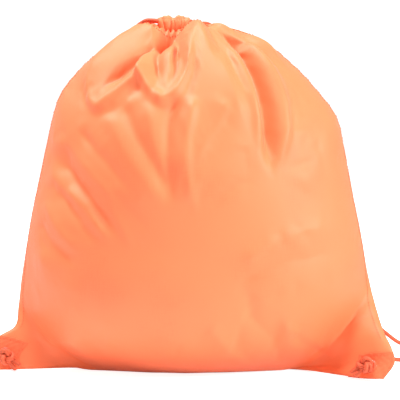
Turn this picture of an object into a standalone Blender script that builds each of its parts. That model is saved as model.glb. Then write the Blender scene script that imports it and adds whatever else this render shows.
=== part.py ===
"""Drawstring sack: two cloth panels sewn on three sides, a cinched mouth with two drawcords,
and a reinforced corner with an eyelet and a knot at each end of the bottom seam.

Metres, +Z up, the front of the sack faces -Y. The origin is on the ground under the middle of the sack.
"""

import functools
import math

import bmesh
import bpy
import numpy as np
from mathutils import Matrix, Vector

# ---------------------------------------------------------------- driving dimensions
GAP = 0.0003  # clearance between pieces that touch
CLOTH = 0.0012  # thickness of a panel
CORNER_LIFT = 0.0014  # keeps the corners' back layers off the ground
LAYER_ROOM = 1.25  # in the flat corners each panel has this many thicknesses of room
PATCH_THICKNESS = 0.0010
PATCH_LIFT = 0.0007  # the patch's distance from the panel, whose facets it must clear
FLAT_WIDTH = 0.380  # the panels as cut and sewn, laid flat
FLAT_HEIGHT = 0.420

CORD_DIAMETER = 0.004
STRAND_POINTS = 70
END_FACE = 0.0015  # the first and last stretch of a strand, which set which way its end faces
SHANK_SPREAD = 0.0021  # the two cords go through the eyelet side by side
SHANK_BACK = 0.0068  # how far they come out behind the corner's middle layer
KNOT_RADII = (0.0080, 0.0075, 0.0062)
KNOT_FORWARD = 0.0115
KNOT_DROOP = 0.0020
END_START = 0.0088
END_LENGTH = 0.0075
END_SPREAD = 0.00225
EYELET_HOLE = 0.0052  # radius cut through the corner's layers
EYELET_BORE = 0.0043  # radius inside the barrel
EYELET_FLANGE = 0.0068
EYELET_LIP = 0.0005  # how far the rolled rim stands above the flange
FLANGE_THICKNESS = 0.0006
CUTTER_LENGTH = 0.03
RING_STEPS = 24
EYELET_AT = (0.890, 0.038)  # place on the panel, across and up
EYELET_CLEARANCE = 0.0011  # the flanges are flat and the patches are slightly curved
PATCH_SIZE = 0.034  # side of the square patch on each corner

MOUTH = Vector((-0.012, 0.0, 0.3125))  # middle of the cinched mouth
MOUTH_HALF_LENGTH = 0.016
MOUTH_HALF_DEPTH = 0.008
CASING_HALF_LENGTH = 0.0095
CASING_HALF_WIDTH = 0.0035
CASING_BOTTOM = 0.3130
CASING_TOP = 0.3265
CHANNEL_HALF_WIDTH = 0.00235
CHANNEL_BOTTOM = 0.3142
CHANNEL_TOP = 0.3238
CASING_RIPPLE = 0.0012
RIGHT_CORD_LEVEL = 0.3166
LEFT_CORD_LEVEL = 0.3211

SEAM_ALLOWANCE = 0.008
BOTTOM_SEAM_REACH = 0.085
SIDE_SEAM_UP = (0.31, 0.85)  # where the side seams' turned edges start and end, up the panel
SIDE_SEAM_ACROSS = (0.79, 0.89)

# Up the middle of a panel: share of the flat height, depth from the seam plane, height.
MIDDLE = (
    (0.00, 0.0000, 0.0000),
    (0.045, 0.0175, 0.0000),
    (0.09, 0.0320, 0.0040),
    (0.13, 0.0470, 0.0105),
    (0.19, 0.0685, 0.0270),
    (0.29, 0.0890, 0.0640),
    (0.42, 0.0945, 0.1180),
    (0.55, 0.0930, 0.1720),
    (0.65, 0.0860, 0.2130),
    (0.75, 0.0740, 0.2520),
    (0.83, 0.0575, 0.2810),
    (0.90, 0.0370, 0.3020),
    (0.95, 0.0200, 0.3115),
    (1.00, 0.0080, 0.3125),
)
# Up the side seams: share of the flat height, x, y, height. Each starts at its corner's tip.
RIGHT_SEAM = (
    (0.00, 0.1760, -0.0570, 0.0016),
    (0.05, 0.1860, -0.0545, 0.0160),
    (0.09, 0.1840, -0.0515, 0.0280),
    (0.13, 0.1780, -0.0420, 0.0410),
    (0.18, 0.1735, -0.0190, 0.0580),
    (0.25, 0.1690, 0.0000, 0.0840),
    (0.35, 0.1615, 0.0000, 0.1240),
    (0.45, 0.1530, 0.0000, 0.1640),
    (0.55, 0.1450, 0.0000, 0.2040),
    (0.62, 0.1375, 0.0000, 0.2330),
    (0.70, 0.1180, 0.0000, 0.2600),
    (0.78, 0.0930, 0.0000, 0.2860),
    (0.86, 0.0640, 0.0000, 0.3065),
    (0.93, 0.0345, 0.0000, 0.3175),
    (1.00, 0.0040, 0.0000, 0.3125),
)
LEFT_SEAM = (
    (0.00, -0.1860, -0.0180, 0.0016),
    (0.05, -0.1850, -0.0140, 0.0210),
    (0.08, -0.1740, -0.0090, 0.0310),
    (0.12, -0.1590, -0.0040, 0.0400),
    (0.16, -0.1565, 0.0000, 0.0560),
    (0.22, -0.1540, 0.0000, 0.0820),
    (0.33, -0.1470, 0.0000, 0.1260),
    (0.45, -0.1380, 0.0000, 0.1720),
    (0.55, -0.1290, 0.0000, 0.2120),
    (0.62, -0.1225, 0.0000, 0.2370),
    (0.68, -0.1160, 0.0000, 0.2550),
    (0.76, -0.0985, 0.0000, 0.2770),
    (0.84, -0.0750, 0.0000, 0.2970),
    (0.92, -0.0510, 0.0000, 0.3110),
    (1.00, -0.0280, 0.0000, 0.3125),
)
# How lens-shaped a level's outline is: 1 is an ellipse, more is pinched towards the seams.
PINCH = (
    (0.00, 3.6),
    (0.10, 3.3),
    (0.20, 2.0),
    (0.30, 1.35),
    (0.50, 1.1),
    (0.80, 1.0),
    (0.95, 0.8),
    (1.00, 0.5),
)

ACROSS_STEPS = 30
UP_STEPS = 26

# ---------------------------------------------------------------- scene set-up


def clear_scene():
    for item in list(bpy.data.objects):
        bpy.data.objects.remove(item, do_unlink=True)


def collection(name):
    made = bpy.data.collections.new(name)
    bpy.context.scene.collection.children.link(made)
    return made


def material(name, colour, roughness, metallic=0.0):
    made = bpy.data.materials.new(name)
    made.use_nodes = True
    shader = made.node_tree.nodes["Principled BSDF"]
    shader.inputs["Base Color"].default_value = (*colour, 1.0)
    shader.inputs["Roughness"].default_value = roughness
    shader.inputs["Metallic"].default_value = metallic
    return made


clear_scene()
SACK = collection("drawstring_sack")
CUTTERS = collection("cutters")
CLOTH_MATERIAL = material("orange_polyester", (1.0, 0.33, 0.12), 0.55)
PATCH_MATERIAL = material("orange_patch_cloth", (0.95, 0.24, 0.08), 0.6)
CORD_MATERIAL = material("red_orange_cord", (0.75, 0.16, 0.06), 0.7)
EYELET_MATERIAL = material("orange_lacquer", (0.80, 0.26, 0.08), 0.4)
SEAM_MATERIAL = material("overlock_thread", (0.95, 0.30, 0.12), 0.8)


def add_object(name, mesh, slot, into=None):
    item = bpy.data.objects.new(name, mesh)
    (into or SACK).objects.link(item)
    if slot:
        mesh.materials.append(slot)
    return item


def object_from_bmesh(name, bm, slot, into=None, smooth=True):
    bmesh.ops.recalc_face_normals(bm, faces=bm.faces)
    mesh = bpy.data.meshes.new(name)
    bm.to_mesh(mesh)
    bm.free()
    if smooth:
        mesh.shade_smooth()
        mesh.set_sharp_from_angle(angle=math.radians(40))
    return add_object(name, mesh, slot, into)


# ---------------------------------------------------------------- the sack's surface


@functools.cache
def prepared(stations):
    """The stations' keys, rows and slopes."""
    table = np.array(stations, float)
    keys, rows = table[:, 0], table[:, 1:]
    return keys, rows, np.gradient(rows, keys, axis=0)


def smooth_through(stations, at):
    """Cubic curve through the stations (first number is the parameter), as a row of the other numbers."""
    keys, rows, slopes = prepared(stations)
    at = min(max(at, keys[0]), keys[-1])
    i = min(max(int(np.searchsorted(keys, at)) - 1, 0), len(keys) - 2)
    span = keys[i + 1] - keys[i]
    u = (at - keys[i]) / span
    start = (1 + 2 * u) * (1 - u) ** 2 * rows[i] + u * (1 - u) ** 2 * span * slopes[i]
    end = u * u * (3 - 2 * u) * rows[i + 1] - u * u * (1 - u) * span * slopes[i + 1]
    return start + end


def ease(low, high, value):
    u = min(max((value - low) / (high - low), 0.0), 1.0)
    return u * u * (3 - 2 * u)


def between(across, up):
    """The middle surface between the two panels, where both would lie if the sack were empty."""
    seam = smooth_through(RIGHT_SEAM if across > 0 else LEFT_SEAM, up)
    height = smooth_through(MIDDLE, up)[1]
    middle_x = MOUTH.x * ease(0.3, 1.0, up)
    reach = abs(across)
    flat = 1.0 - ease(0.0, 0.3, up)
    spread = flat * reach + (1.0 - flat) * math.sin(math.pi / 2 * reach)
    towards_corner = ease(0.45, 1.0, reach)
    return Vector(
        (
            middle_x + (seam[0] - middle_x) * spread,
            seam[1] * towards_corner,
            height + (seam[2] - height) * towards_corner,
        )
    )


def backwards(across, up):
    """The middle surface's normal, towards the back."""
    step = 0.01
    low_across, high_across = max(across - step, -1.0), min(across + step, 1.0)
    low_up, high_up = max(up - step, 0.0), min(up + step, 1.0)
    along = between(high_across, up) - between(low_across, up)
    upward = between(across, high_up) - between(across, low_up)
    return upward.cross(along).normalized()


def skin(side, across, up):
    """A point on the outer skin: side -1 front, +1 back; across -1..1 seam to seam; up 0..1 to the mouth."""
    depth = smooth_through(MIDDLE, up)[0]
    pinch = smooth_through(PINCH, up)[0]
    reach = abs(across)
    lens = max(math.cos(math.pi / 2 * reach), 0.0) ** pinch
    flattened = ease(0.42, 0.60, reach) * (1.0 - ease(0.36, 0.56, up))
    place = between(across, up) + Vector((0.0, side * (GAP / 2 + depth * lens), 0.0))
    if flattened > 0.0:
        place += backwards(across, up) * (side * CLOTH * LAYER_ROOM * flattened)
        place.z += CORNER_LIFT * flattened
    return place


def skin_normal(side, across, up):
    """The outward normal of the skin."""
    step = 0.002
    low_across, high_across = max(across - step, -1.0), min(across + step, 1.0)
    low_up, high_up = max(up - step, 0.0), min(up + step, 1.0)
    along = skin(side, high_across, up) - skin(side, low_across, up)
    upward = skin(side, across, high_up) - skin(side, across, low_up)
    return (along.cross(upward) * -side).normalized()


def layer(name, side, across_values, up_values, outside, inside, slot):
    """A closed sheet that follows the skin between two distances from it, measured outwards."""
    bm = bmesh.new()
    grids = []
    for offset in (outside, inside):
        grid = []
        for up in up_values:
            row = []
            for across in across_values:
                place = skin(side, across, up) + skin_normal(side, across, up) * offset
                place.z = max(place.z, 0.0)
                row.append(bm.verts.new(place))
            grid.append(row)
        grids.append(grid)
    outer, inner = grids
    last_row, last_column = len(up_values) - 1, len(across_values) - 1
    for j in range(last_row):
        for i in range(last_column):
            bm.faces.new((outer[j][i], outer[j][i + 1], outer[j + 1][i + 1], outer[j + 1][i]))
            bm.faces.new((inner[j][i], inner[j + 1][i], inner[j + 1][i + 1], inner[j][i + 1]))
    for i in range(last_column):
        bm.faces.new((outer[0][i], inner[0][i], inner[0][i + 1], outer[0][i + 1]))
        bm.faces.new((outer[-1][i], outer[-1][i + 1], inner[-1][i + 1], inner[-1][i]))
    for j in range(last_row):
        bm.faces.new((outer[j][0], outer[j + 1][0], inner[j + 1][0], inner[j][0]))
        bm.faces.new((outer[j][-1], inner[j][-1], inner[j + 1][-1], outer[j + 1][-1]))
    return object_from_bmesh(name, bm, slot)


def eyelet_frame(sign):
    """Where a corner's eyelet sits: its middle between the layers, and its axis towards the front."""
    across, up = EYELET_AT
    front = skin(-1, sign * across, up)
    back = skin(1, sign * across, up)
    axis = (skin_normal(-1, sign * across, up) - skin_normal(1, sign * across, up)).normalized()
    return (front + back) / 2, axis


def turned_to(axis, place):
    """The matrix that puts a shape made along +Z at a place, along an axis."""
    return Matrix.Translation(place) @ axis.to_track_quat("Z", "Y").to_matrix().to_4x4()


def cut(item, cutter):
    hole = item.modifiers.new("hole", "BOOLEAN")
    hole.operation = "DIFFERENCE"
    hole.solver = "EXACT"
    hole.object = cutter


def eyelet_cutter(sign, name):
    place, axis = eyelet_frame(sign)
    bm = bmesh.new()
    bmesh.ops.create_cone(
        bm, cap_ends=True, segments=20, radius1=EYELET_HOLE, radius2=EYELET_HOLE, depth=CUTTER_LENGTH
    )
    cutter = object_from_bmesh(name, bm, None, CUTTERS, smooth=False)
    cutter.matrix_world = turned_to(axis, place)
    cutter.hide_render = True
    cutter.display_type = "WIRE"
    return cutter


def spaced(steps):
    """Steps from -1 to 1, closer together towards the two seams."""
    return [math.sin(math.pi / 2 * (2 * i / steps - 1)) for i in range(steps + 1)]


def make_panels(cutters):
    across_values = spaced(ACROSS_STEPS)
    up_values = [0.0, 0.015] + [j / UP_STEPS for j in range(1, UP_STEPS + 1)]
    for name, side in (("front_panel", -1), ("back_panel", 1)):
        panel = layer(name, side, across_values, up_values, 0.0, -CLOTH, CLOTH_MATERIAL)
        for cutter in cutters.values():
            cut(panel, cutter)


def make_patches(cutters):
    low_across = 1.0 - PATCH_SIZE / (FLAT_WIDTH / 2)
    high_up = PATCH_SIZE / FLAT_HEIGHT
    steps = 7
    for corner, sign in (("left", -1), ("right", 1)):
        across_values = [sign * (low_across + (1.0 - low_across) * i / steps) for i in range(steps + 1)]
        up_values = [high_up * j / steps for j in range(steps + 1)]
        for face, side in (("front", -1), ("back", 1)):
            name = f"{corner}_{face}_patch"
            outside = PATCH_LIFT + PATCH_THICKNESS
            patch = layer(name, side, across_values, up_values, outside, PATCH_LIFT, PATCH_MATERIAL)
            cut(patch, cutters[sign])


def make_seam_allowances():
    """The sewn edges, turned to the inside: one up each side and one along the bottom."""
    half = CLOTH / 2
    steps = 20
    for name, sign in (("left_side_seam", -1), ("right_side_seam", 1)):
        bm = bmesh.new()
        rows = []
        for j in range(steps + 1):
            up = SIDE_SEAM_UP[0] + (SIDE_SEAM_UP[1] - SIDE_SEAM_UP[0]) * j / steps
            inner, outer = (between(sign * across, up) for across in SIDE_SEAM_ACROSS)
            corners = ((outer, -half), (inner, -half), (inner, half), (outer, half))
            rows.append([bm.verts.new(place + Vector((0.0, y, 0.0))) for place, y in corners])
        close_rows(bm, rows)
        object_from_bmesh(name, bm, SEAM_MATERIAL)
    bm = bmesh.new()
    bmesh.ops.create_cube(bm, size=1.0)
    bmesh.ops.scale(bm, vec=(2 * BOTTOM_SEAM_REACH, CLOTH, SEAM_ALLOWANCE), verts=bm.verts)
    bmesh.ops.translate(bm, vec=(0.0, 0.0, CLOTH + 2 * GAP + SEAM_ALLOWANCE / 2), verts=bm.verts)
    object_from_bmesh("bottom_seam", bm, SEAM_MATERIAL)


def close_rows(bm, rows):
    """Faces between rows of points that each go once round, and a cap at both ends."""
    count = len(rows[0])
    for low, high in zip(rows, rows[1:]):
        for i in range(count):
            bm.faces.new((low[i], low[(i + 1) % count], high[(i + 1) % count], high[i]))
    bm.faces.new(rows[0])
    bm.faces.new(rows[-1])


def rounded_ring(half_width, bottom, top, middle_y, corner):
    """Twelve points round an upright rounded rectangle in the YZ plane."""
    points = []
    for quarter, (y_sign, at_top) in enumerate(((1, False), (1, True), (-1, True), (-1, False))):
        z = top - corner if at_top else bottom + corner
        y = middle_y + y_sign * (half_width - corner)
        for third in range(3):
            angle = math.radians(-90 + 90 * quarter + 45 * third)
            points.append((y + corner * math.cos(angle), z + corner * math.sin(angle)))
    return points


def make_casings():
    """The two hem channels, each a sleeve that is open at both ends, with the cords inside."""
    steps = 12
    for name, side in (("front_casing", -1), ("back_casing", 1)):
        bm = bmesh.new()
        outers, inners = [], []
        for i in range(steps + 1):
            along = 2 * i / steps - 1
            ripple = CASING_RIPPLE * math.sin(3 * math.pi * along + side)
            x = MOUTH.x + CASING_HALF_LENGTH * along
            swell = max(ripple, 0.0) / 2
            y = side * (MOUTH_HALF_DEPTH + swell)
            outer = rounded_ring(CASING_HALF_WIDTH + swell, CASING_BOTTOM, CASING_TOP, y, 0.0012)
            channel_y = side * MOUTH_HALF_DEPTH
            inner = rounded_ring(CHANNEL_HALF_WIDTH, CHANNEL_BOTTOM, CHANNEL_TOP, channel_y, 0.0006)
            outers.append([bm.verts.new((x, *point)) for point in outer])
            inners.append([bm.verts.new((x, *point)) for point in inner])
        count = len(outers[0])
        for rows in (outers, inners):
            for low, high in zip(rows, rows[1:]):
                for i in range(count):
                    bm.faces.new((low[i], low[(i + 1) % count], high[(i + 1) % count], high[i]))
        for k in (0, steps):
            for i in range(count):
                j = (i + 1) % count
                bm.faces.new((outers[k][i], outers[k][j], inners[k][j], inners[k][i]))
        object_from_bmesh(name, bm, CLOTH_MATERIAL)


def cord(name, points):
    """A round cord along the points."""
    data = bpy.data.curves.new(name, "CURVE")
    data.dimensions = "3D"
    data.bevel_depth = CORD_DIAMETER / 2
    data.bevel_resolution = 2
    data.use_fill_caps = True
    line = data.splines.new("POLY")
    line.points.add(len(points) - 1)
    for point, place in zip(line.points, points):
        point.co = (*place, 1.0)
    return add_object(name, data, CORD_MATERIAL)


def make_drawcords():
    """The stretch of each drawcord that runs through both casings and turns back at the far side."""
    turn_steps = 8
    cords = (("left_drawcord", -1, LEFT_CORD_LEVEL), ("right_drawcord", 1, RIGHT_CORD_LEVEL))
    for name, sign, level in cords:
        exit_x = sign * (CASING_HALF_LENGTH + 0.001)
        turn_x = -sign * (MOUTH_HALF_LENGTH - MOUTH_HALF_DEPTH)
        front = [(exit_x, -MOUTH_HALF_DEPTH), (exit_x / 2, -MOUTH_HALF_DEPTH), (0.0, -MOUTH_HALF_DEPTH)]
        turn = []
        for i in range(turn_steps + 1):
            angle = math.pi * i / turn_steps
            bulge = -sign * MOUTH_HALF_DEPTH * math.sin(angle)
            turn.append((turn_x + bulge, -MOUTH_HALF_DEPTH * math.cos(angle)))
        back = [(x, -y) for x, y in reversed(front)]
        cord(name, [(MOUTH.x + x, y, level) for x, y in front + turn + back])


def ring_profile(name, profile, matrix, slot):
    """A turned ring: the closed profile, at +X, runs down its outer side."""
    mesh = bpy.data.meshes.new(name)
    corners = [(radius, 0.0, height) for radius, height in profile]
    edges = [(i, (i + 1) % len(corners)) for i in range(len(corners))]
    mesh.from_pydata(corners, edges, [])
    ring = add_object(name, mesh, slot)
    ring.matrix_world = matrix
    turned = ring.modifiers.new("turned", "SCREW")
    turned.steps = turned.render_steps = RING_STEPS
    turned.use_merge_vertices = True
    turned.merge_threshold = 0.00001


def make_eyelets():
    """Each corner's eyelet: a flanged barrel from the front, and the washer it is set into behind."""
    stack = GAP / 2 + CLOTH * LAYER_ROOM + PATCH_LIFT + PATCH_THICKNESS + EYELET_CLEARANCE
    barrel = EYELET_HOLE - GAP
    for corner, sign in (("left", -1), ("right", 1)):
        place, axis = eyelet_frame(sign)
        matrix = turned_to(axis, place)
        top = stack + FLANGE_THICKNESS
        front = (
            (EYELET_BORE, top + EYELET_LIP),
            (EYELET_BORE + 0.0012, top + EYELET_LIP),
            (EYELET_FLANGE, top),
            (EYELET_FLANGE, stack),
            (barrel, stack),
            (barrel, GAP - stack),
            (EYELET_BORE, GAP - stack),
        )
        ring_profile(f"{corner}_eyelet", front, matrix, EYELET_MATERIAL)
        washer = (
            (EYELET_BORE, -stack),
            (EYELET_FLANGE, -stack),
            (EYELET_FLANGE, -stack - FLANGE_THICKNESS),
            (EYELET_BORE, -stack - FLANGE_THICKNESS - GAP),
        )
        ring_profile(f"{corner}_eyelet_washer", washer, matrix, EYELET_MATERIAL)


# Where the free strands run, from the mouth down the back and over the ground to the corner's eyelet.
# The last stretch, into the back of the eyelet, is worked out by strand_route.
STRAND_ROUTES = {
    "right_strand_a": (
        (0.007, -0.0070, 0.3175),
        (0.013, -0.0020, 0.3190),
        (0.0185, 0.0060, 0.3190),
        (0.024, 0.0150, 0.3160),
        (0.033, 0.0280, 0.3075),
        (0.045, 0.0415, 0.2935),
        (0.058, 0.0530, 0.2740),
        (0.073, 0.0635, 0.2440),
        (0.085, 0.0700, 0.2110),
        (0.095, 0.0745, 0.1780),
        (0.102, 0.0760, 0.1450),
        (0.109, 0.0765, 0.1120),
        (0.118, 0.0770, 0.0800),
        (0.129, 0.0790, 0.0700),
        (0.144, 0.0830, 0.0590),
        (0.159, 0.0860, 0.0480),
        (0.172, 0.0880, 0.0368),
        (0.184, 0.0895, 0.0262),
        (0.196, 0.0905, 0.0160),
        (0.208, 0.0910, 0.0072),
        (0.222, 0.0910, 0.0024),
        (0.237, 0.0880, 0.0020),
        (0.250, 0.0780, 0.0020),
        (0.254, 0.0640, 0.0020),
        (0.246, 0.0510, 0.0020),
        (0.231, 0.0420, 0.0020),
        (0.214, 0.0350, 0.0020),
        (0.201, 0.0280, 0.0028),
        (0.191, 0.0200, 0.0060),
        (0.184, 0.0100, 0.0120),
        (0.180, -0.0040, 0.0165),
        (0.1785, -0.0170, 0.0155),
        (0.1768, -0.0285, 0.0120),
    ),
    "right_strand_b": (
        (0.006, 0.0105, 0.3172),
        (0.0100, 0.0155, 0.3172),
        (0.0135, 0.0235, 0.3135),
        (0.019, 0.0350, 0.3055),
        (0.028, 0.0490, 0.2905),
        (0.040, 0.0595, 0.2715),
        (0.053, 0.0705, 0.2425),
        (0.062, 0.0795, 0.2100),
        (0.067, 0.0845, 0.1770),
        (0.070, 0.0865, 0.1430),
        (0.073, 0.0865, 0.1100),
        (0.078, 0.0850, 0.0780),
        (0.085, 0.0880, 0.0480),
        (0.094, 0.0940, 0.0220),
        (0.103, 0.1020, 0.0070),
        (0.113, 0.1100, 0.0020),
        (0.126, 0.1130, 0.0020),
        (0.137, 0.1070, 0.0020),
        (0.141, 0.0950, 0.0020),
        (0.141, 0.0820, 0.0020),
        (0.144, 0.0680, 0.0020),
        (0.149, 0.0520, 0.0020),
        (0.156, 0.0350, 0.0020),
        (0.163, 0.0170, 0.0020),
        (0.168, 0.0000, 0.0035),
        (0.171, -0.0160, 0.0075),
        (0.1715, -0.0280, 0.0105),
    ),
    "left_strand_a": (
        (-0.030, -0.0073, 0.3220),
        (-0.036, -0.0040, 0.3220),
        (-0.0415, 0.0035, 0.3195),
        (-0.0465, 0.0120, 0.3160),
        (-0.0520, 0.0220, 0.3090),
        (-0.060, 0.0340, 0.2960),
        (-0.067, 0.0470, 0.2760),
        (-0.077, 0.0615, 0.2430),
        (-0.085, 0.0690, 0.2110),
        (-0.090, 0.0730, 0.1780),
        (-0.094, 0.0750, 0.1450),
        (-0.097, 0.0745, 0.1120),
        (-0.101, 0.0735, 0.0790),
        (-0.107, 0.0770, 0.0490),
        (-0.115, 0.0820, 0.0230),
        (-0.124, 0.0890, 0.0070),
        (-0.134, 0.0950, 0.0020),
        (-0.146, 0.0970, 0.0020),
        (-0.156, 0.0920, 0.0020),
        (-0.161, 0.0810, 0.0020),
        (-0.161, 0.0670, 0.0020),
        (-0.161, 0.0520, 0.0020),
        (-0.163, 0.0370, 0.0025),
        (-0.166, 0.0240, 0.0050),
        (-0.1685, 0.0130, 0.0090),
        (-0.170, 0.0040, 0.0125),
    ),
    "left_strand_b": (
        (-0.030, 0.0100, 0.3215),
        (-0.035, 0.0145, 0.3200),
        (-0.0385, 0.0205, 0.3165),
        (-0.042, 0.0300, 0.3080),
        (-0.047, 0.0440, 0.2925),
        (-0.052, 0.0570, 0.2735),
        (-0.058, 0.0705, 0.2425),
        (-0.063, 0.0795, 0.2100),
        (-0.066, 0.0845, 0.1770),
        (-0.068, 0.0865, 0.1430),
        (-0.070, 0.0865, 0.1100),
        (-0.073, 0.0850, 0.0780),
        (-0.078, 0.0880, 0.0480),
        (-0.085, 0.0940, 0.0220),
        (-0.091, 0.1020, 0.0070),
        (-0.098, 0.1090, 0.0020),
        (-0.107, 0.1110, 0.0020),
        (-0.114, 0.1050, 0.0020),
        (-0.116, 0.0940, 0.0020),
        (-0.116, 0.0820, 0.0020),
        (-0.119, 0.0700, 0.0020),
        (-0.127, 0.0580, 0.0020),
        (-0.138, 0.0470, 0.0020),
        (-0.148, 0.0360, 0.0020),
        (-0.156, 0.0250, 0.0030),
        (-0.1615, 0.0150, 0.0065),
        (-0.1645, 0.0060, 0.0110),
    ),
}


def shank_offset(corner, letter):
    """How far a strand's end sits beside the eyelet's axis, level with it."""
    sign = -1 if corner == "left" else 1
    axis = eyelet_frame(sign)[1]
    outwards = Vector((-axis.y, axis.x, 0.0)).normalized() * sign
    return outwards * (SHANK_SPREAD if letter == "a" else -SHANK_SPREAD)


def through_eyelet(corner, letter, forward):
    """A point on a strand's way through the eyelet, this far in front of the corner's middle layer."""
    place, axis = eyelet_frame(-1 if corner == "left" else 1)
    return place + axis * forward + shank_offset(corner, letter)


def strand_route(name):
    """Every point the strand's curve goes through: out of the casing, along its route, into the eyelet."""
    corner, _, letter = name.split("_")
    sign, level = (-1, LEFT_CORD_LEVEL) if corner == "left" else (1, RIGHT_CORD_LEVEL)
    exit_x = MOUTH.x + sign * (CASING_HALF_LENGTH + 0.001 + GAP)
    exit_y = MOUTH_HALF_DEPTH if letter == "b" else -MOUTH_HALF_DEPTH
    last = [through_eyelet(corner, letter, -SHANK_BACK - GAP - before) for before in (0.006, 0.0)]
    first = [Vector((exit_x + sign * straight, exit_y, level)) for straight in (0.0, 0.0025)]
    return first + [Vector(p) for p in STRAND_ROUTES[name]] + last


def smooth_curve(route, count):
    """Evenly spaced points along one smooth curve through the route's points."""
    points = np.array([tuple(p) for p in route])
    keys = np.concatenate([[0.0], np.cumsum(np.linalg.norm(np.diff(points, axis=0), axis=1))])
    stations = tuple((key, *point) for key, point in zip(keys, points))
    fine = np.array([smooth_through(stations, at) for at in np.linspace(0.0, keys[-1], 8 * count)])
    walked = np.concatenate([[0.0], np.cumsum(np.linalg.norm(np.diff(fine, axis=0), axis=1))])
    even = np.linspace(0.0, walked[-1], count)
    square = np.array([even[0], END_FACE, *even[1:-1], even[-1] - END_FACE, even[-1]])
    x, y, z = (np.interp(square, walked, fine[:, k]) for k in range(3))
    return [tuple(place) for place in np.column_stack((x, y, np.maximum(z, CORD_DIAMETER / 2))).tolist()]


def make_strands():
    for name in STRAND_ROUTES:
        cord(name, smooth_curve(strand_route(name), STRAND_POINTS))


def ellipsoid(bm, radii, matrix):
    made = bmesh.ops.create_uvsphere(bm, u_segments=20, v_segments=12, radius=1.0)
    bmesh.ops.transform(bm, matrix=matrix @ Matrix.Diagonal((*radii, 1.0)), verts=made["verts"])


def rod(bm, start, end, radius, segments=12):
    made = bmesh.ops.create_cone(
        bm, cap_ends=True, segments=segments, radius1=radius, radius2=radius, depth=(end - start).length
    )
    matrix = turned_to((end - start).normalized(), (start + end) / 2)
    bmesh.ops.transform(bm, matrix=matrix, verts=made["verts"])


def joined(item, extra):
    """Adds another shape to a piece, as one body."""
    extra.hide_render = True
    extra.display_type = "WIRE"
    union = item.modifiers.new("joined", "BOOLEAN")
    union.operation = "UNION"
    union.solver = "EXACT"
    union.object = extra


def make_knots():
    """In front of each eyelet: the knot that both strands are tied in, and their two sealed ends."""
    for corner, sign in (("left", -1), ("right", 1)):
        place, axis = eyelet_frame(sign)
        level = Vector((-axis.y, axis.x, 0.0)).normalized() * sign
        up = axis.cross(level).normalized()
        up = up if up.z > 0 else -up
        middle = place + axis * KNOT_FORWARD - up * KNOT_DROOP
        bm = bmesh.new()
        ellipsoid(bm, KNOT_RADII, turned_to(axis, middle))
        knot = object_from_bmesh(f"{corner}_knot", bm, CORD_MATERIAL)
        for letter in ("a", "b"):
            bm = bmesh.new()
            behind = through_eyelet(corner, letter, -SHANK_BACK)
            ahead = through_eyelet(corner, letter, KNOT_FORWARD - END_FACE)
            rod(bm, behind, ahead, CORD_DIAMETER / 2)
            joined(knot, object_from_bmesh(f"{corner}_shank_{letter}", bm, None, CUTTERS))
        away = (-level - up).normalized()
        beside = axis.cross(away).normalized()
        for letter, shift in (("a", 1), ("b", -1)):
            start = middle + away * END_START + beside * (shift * END_SPREAD)
            bm = bmesh.new()
            rod(bm, start, start + away * END_LENGTH, CORD_DIAMETER / 2)
            object_from_bmesh(f"{corner}_cord_end_{letter}", bm, CORD_MATERIAL)


cutters = {sign: eyelet_cutter(sign, name) for sign, name in ((-1, "left_hole"), (1, "right_hole"))}
make_panels(cutters)
make_patches(cutters)
make_seam_allowances()
make_casings()
make_drawcords()
make_eyelets()
make_strands()
make_knots()
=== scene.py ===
"""Looks of the drawstring sack: gathered orange cloth, braided drawcords, knots, patches and stitching.

Metres, +Z up, the sack's front faces -Y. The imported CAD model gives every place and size.
"""

import functools
import itertools
import math

import bmesh
import bpy
import numpy as np
from mathutils import Matrix, Vector, kdtree, noise


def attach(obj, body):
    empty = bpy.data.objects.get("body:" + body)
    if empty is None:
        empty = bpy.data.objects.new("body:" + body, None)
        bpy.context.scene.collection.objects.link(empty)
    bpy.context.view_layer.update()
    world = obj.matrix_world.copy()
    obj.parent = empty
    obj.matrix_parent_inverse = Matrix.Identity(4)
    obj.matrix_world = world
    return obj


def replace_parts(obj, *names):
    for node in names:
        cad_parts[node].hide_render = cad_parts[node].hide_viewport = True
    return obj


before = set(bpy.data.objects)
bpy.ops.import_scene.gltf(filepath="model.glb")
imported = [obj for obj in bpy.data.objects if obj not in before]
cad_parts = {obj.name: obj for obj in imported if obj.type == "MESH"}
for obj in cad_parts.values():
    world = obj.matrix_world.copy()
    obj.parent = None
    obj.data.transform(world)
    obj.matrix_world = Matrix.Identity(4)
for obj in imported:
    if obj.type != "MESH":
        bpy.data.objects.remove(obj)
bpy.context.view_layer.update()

# ---------------------------------------------------------------- sizes
FLAT_WIDTH = 0.380  # a panel as cut, between its seams
FLAT_HEIGHT = 0.420
CLOTH = 0.0012  # the CAD panel's thickness
VISIBLE_CLOTH = 0.0004
GAP = 0.0003
CORNER_LIFT = 0.0014
LAYER_ROOM = 1.25
CORD_RADIUS = 0.0020
MOUTH = Vector((-0.012, 0.0, 0.3125))
MOUTH_HALF_LENGTH = 0.016
MOUTH_HALF_DEPTH = 0.008
CASING_HALF_LENGTH = 0.0095
RIGHT_CORD_LEVEL = 0.3166
LEFT_CORD_LEVEL = 0.3211
EYELET_AT = (0.890, 0.038)  # place on the panel, across and up
SHANK_SPREAD = 0.0021
SHANK_BACK = 0.0068
KNOT_FORWARD = 0.0115
KNOT_DROOP = 0.0020
PATCH_SIZE = 0.034
EXIT_ROOM = 0.001  # between a casing and where a strand begins
CORNERS = (("left", -1), ("right", 1))
FACES = (("front", -1), ("back", 1))

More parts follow.
